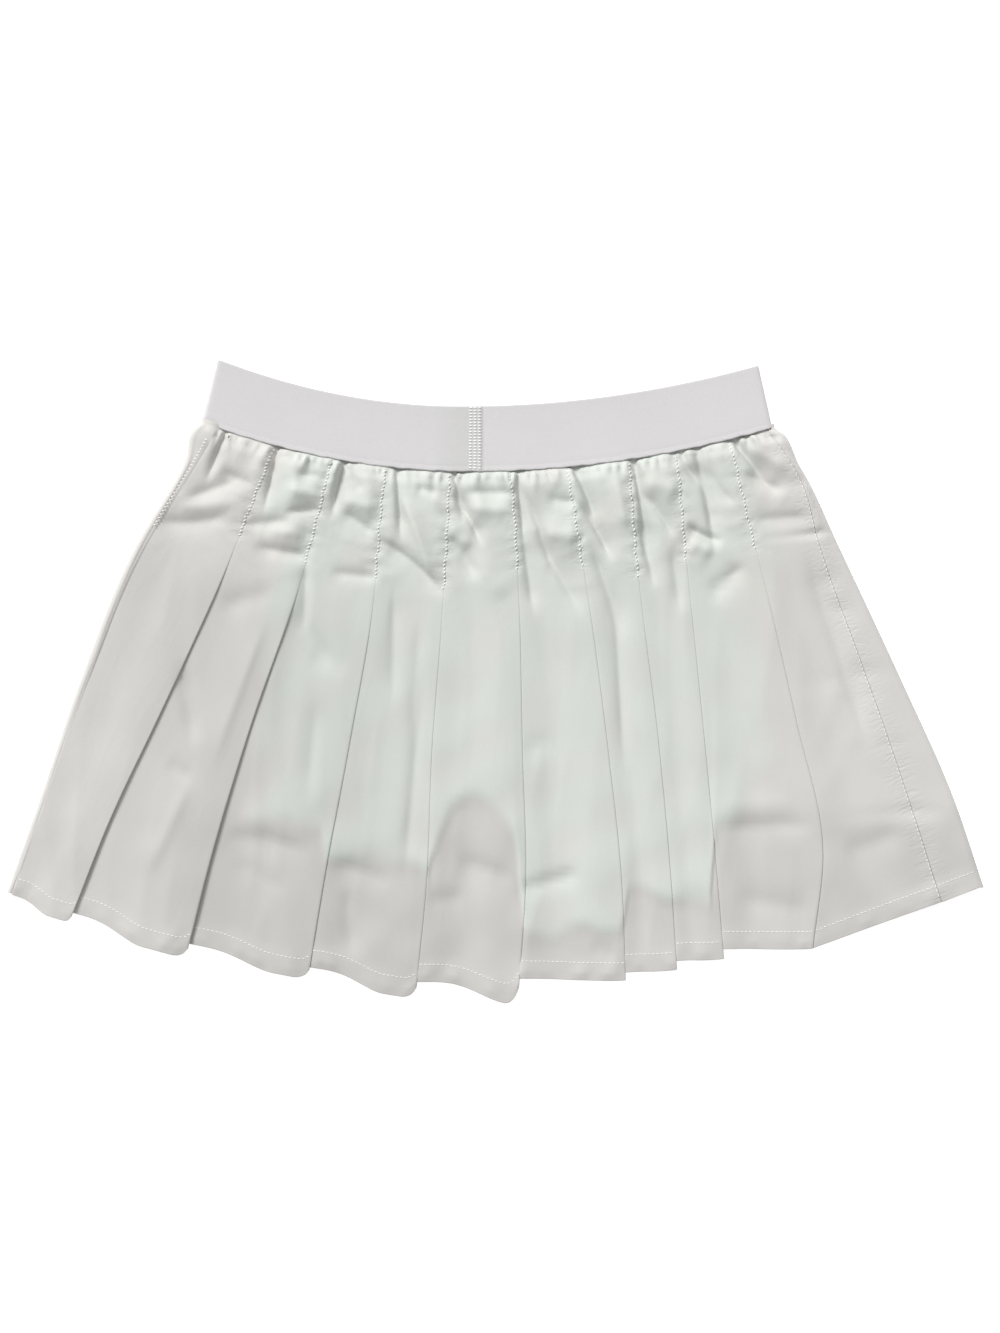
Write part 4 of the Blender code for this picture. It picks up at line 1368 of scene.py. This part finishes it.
class MakePanels(bpy.types.Operator):
    """Make the pleated back panel, and the front panel that lies under it"""

    bl_idname = "skirt.make_panels"
    bl_label = "Pleated panels"
    bl_options = {"REGISTER", "UNDO"}

    def execute(self, context):
        down = rows_down()
        back_cut = panel_cut(LEFT_SEAM, LEFT_EDGE, RIGHT_SEAM, len(BACK_PLEATS), DEPTH_WAIST,
                             DEPTH_HEM, LENGTH)
        front_cut = panel_cut(RIGHT_SEAM, RIGHT_EDGE, LEFT_SEAM, FRONT_PLEATS, FRONT_DEPTH,
                              FRONT_DEPTH, front_length())
        for name, node, surface, cut in (
                ("back_panel_cloth", "back_panel", back_surface(), back_cut),
                ("front_panel_cloth", "front_panel", front_surface(), front_cut)):
            mesh = sheet_mesh(name, surface, closed=False)
            add_attribute(mesh, "inner_layer", inner_mask(surface.x, surface.y))
            add_attribute(mesh, "sewn", sewn_mask(surface.x, down))
            # tone holds the painted shade under the yoke as well as the duller unlined cloth
            add_attribute(mesh, "tone", cloth_tone_and_painted_shade(surface.x, surface.y, down))
            add_attribute(mesh, "yoke", yoke_share(down))
            piece = add_piece(name, mesh, pleated_cloth(), node)
            thicken(piece, context.scene.skirt_looks.cloth_wall)
        return {"FINISHED"}


class SewStitches(bpy.types.Operator):
    """Sew the folds, the side seam, the hems and the waistband's join"""

    bl_idname = "skirt.sew_stitches"
    bl_label = "Stitching"
    bl_options = {"REGISTER", "UNDO"}

    def execute(self, context):
        radius = context.scene.skirt_looks.thread_radius
        back, front, band = back_surface(), front_surface(), band_surface()
        folds = [fold_stitches(back, back.faces[0], TUCK_STITCHED, first=8.0, inset=0.3)]
        folds += [fold_stitches(back, face, pleat.stitched, first=3.0, inset=0.5)
                  for face, pleat in zip(back.faces[1:], BACK_PLEATS)]
        hems = [hem_stitches(back, face) for face in back.faces[1:]]
        hems.append(hem_stitches(front, front.faces[0]))
        down = rows_down()[:, 0] * LENGTH
        rows = evenly(down, SEAM_PITCH, first=12.0, last=LENGTH - 2.0)
        seam = on_surface(back, rows, np.full(len(rows), back.faces[-1][1] - 1.0))
        middle = band.x[len(band.x) // 2, :band.faces[0][1]]
        join = []
        for x in JOIN_LINES:
            column = np.interp(x, middle, np.arange(len(middle)))
            rows = evenly(band_down() * BAND_HEIGHT, JOIN_PITCH, first=1.0, last=BAND_HEIGHT - 1.0)
            join.append(on_surface(band, rows, np.full(len(rows), column), JOIN_SLANT))
        for kind, parts in zip(SEWINGS, (folds, hems, [seam], join)):
            points, along, up = joined(parts)
            points = points + up * SURFACE_LIFT[kind.slot]
            mesh = stitch_mesh(kind.name, points, along, up, kind.length, radius * kind.thickness)
            add_piece(kind.name, mesh, spun_thread())
        return {"FINISHED"}


class MakeStage(bpy.types.Operator):
    """Make the pale floor, the soft light and the camera that looks straight down"""

    bl_idname = "skirt.make_stage"
    bl_label = "Stage"
    bl_options = {"REGISTER", "UNDO"}

    def execute(self, context):
        scene, settings = context.scene, context.scene.skirt_stage
        world = bpy.data.worlds.new("Studio")
        scene.world = world
        world.use_nodes = True
        world.node_tree.nodes["Background"].inputs["Color"].default_value = (1.0, 1.0, 1.0, 1.0)
        world.node_tree.nodes["Background"].inputs["Strength"].default_value = settings.ambient
        mesh = bpy.data.meshes.new("floor")
        corners = [(x * FLOOR_HALF, y * FLOOR_HALF, CAD_LOW.z - FLOOR_GAP)
                   for x, y in ((-1, -1), (1, -1), (1, 1), (-1, 1))]
        mesh.from_pydata(corners, [], [(0, 1, 2, 3)])
        mesh.materials.append(lit_acrylic())
        floor = bpy.data.objects.new("floor", mesh)
        scene.collection.objects.link(floor)
        light = bpy.data.lights.new("key", "SUN")
        light.energy = settings.key
        light.angle = settings.key_softness
        lamp = bpy.data.objects.new("key", light)
        lamp.rotation_euler = Vector(LIGHT_FROM).to_track_quat("Z", "Y").to_euler()
        scene.collection.objects.link(lamp)
        camera = bpy.data.objects.new("camera", bpy.data.cameras.new("camera"))
        camera.location = (CAMERA_X * MM, CAMERA_Y * MM, settings.camera_height)
        camera.data.lens = settings.lens
        camera.data.sensor_width = 36.0
        scene.collection.objects.link(camera)
        scene.camera = camera
        scene.view_settings.view_transform = "Standard"
        return {"FINISHED"}


class SkirtPanel(bpy.types.Panel):
    """Lists the skirt's settings and its making steps"""

    bl_idname = "VIEW3D_PT_skirt"
    bl_label = "Tennis skirt"
    bl_space_type = "VIEW_3D"
    bl_region_type = "UI"
    bl_category = "Skirt"

    def draw(self, context):
        for settings in (context.scene.skirt_looks, context.scene.skirt_stage):
            column = self.layout.column()
            for name in settings.bl_rna.properties.keys():
                if name not in ("rna_type", "name"):
                    column.prop(settings, name)
        for operator in OPERATORS:
            self.layout.operator(operator.bl_idname)


OPERATORS = (MakeStage, MakePanels, MakeWaistband, SewStitches)
CLASSES = (SkirtLooks, SkirtStage, *OPERATORS, SkirtPanel)


def register():
    for each in CLASSES:
        bpy.utils.register_class(each)
    bpy.types.Scene.skirt_looks = bpy.props.PointerProperty(type=SkirtLooks)
    bpy.types.Scene.skirt_stage = bpy.props.PointerProperty(type=SkirtStage)


def unregister():
    del bpy.types.Scene.skirt_stage
    del bpy.types.Scene.skirt_looks
    for each in reversed(CLASSES):
        bpy.utils.unregister_class(each)


def main():
    register()
    bpy.ops.skirt.make_stage()
    bpy.ops.skirt.make_panels()
    bpy.ops.skirt.make_waistband()
    bpy.ops.skirt.sew_stitches()


if __name__ == "__main__":
    main()
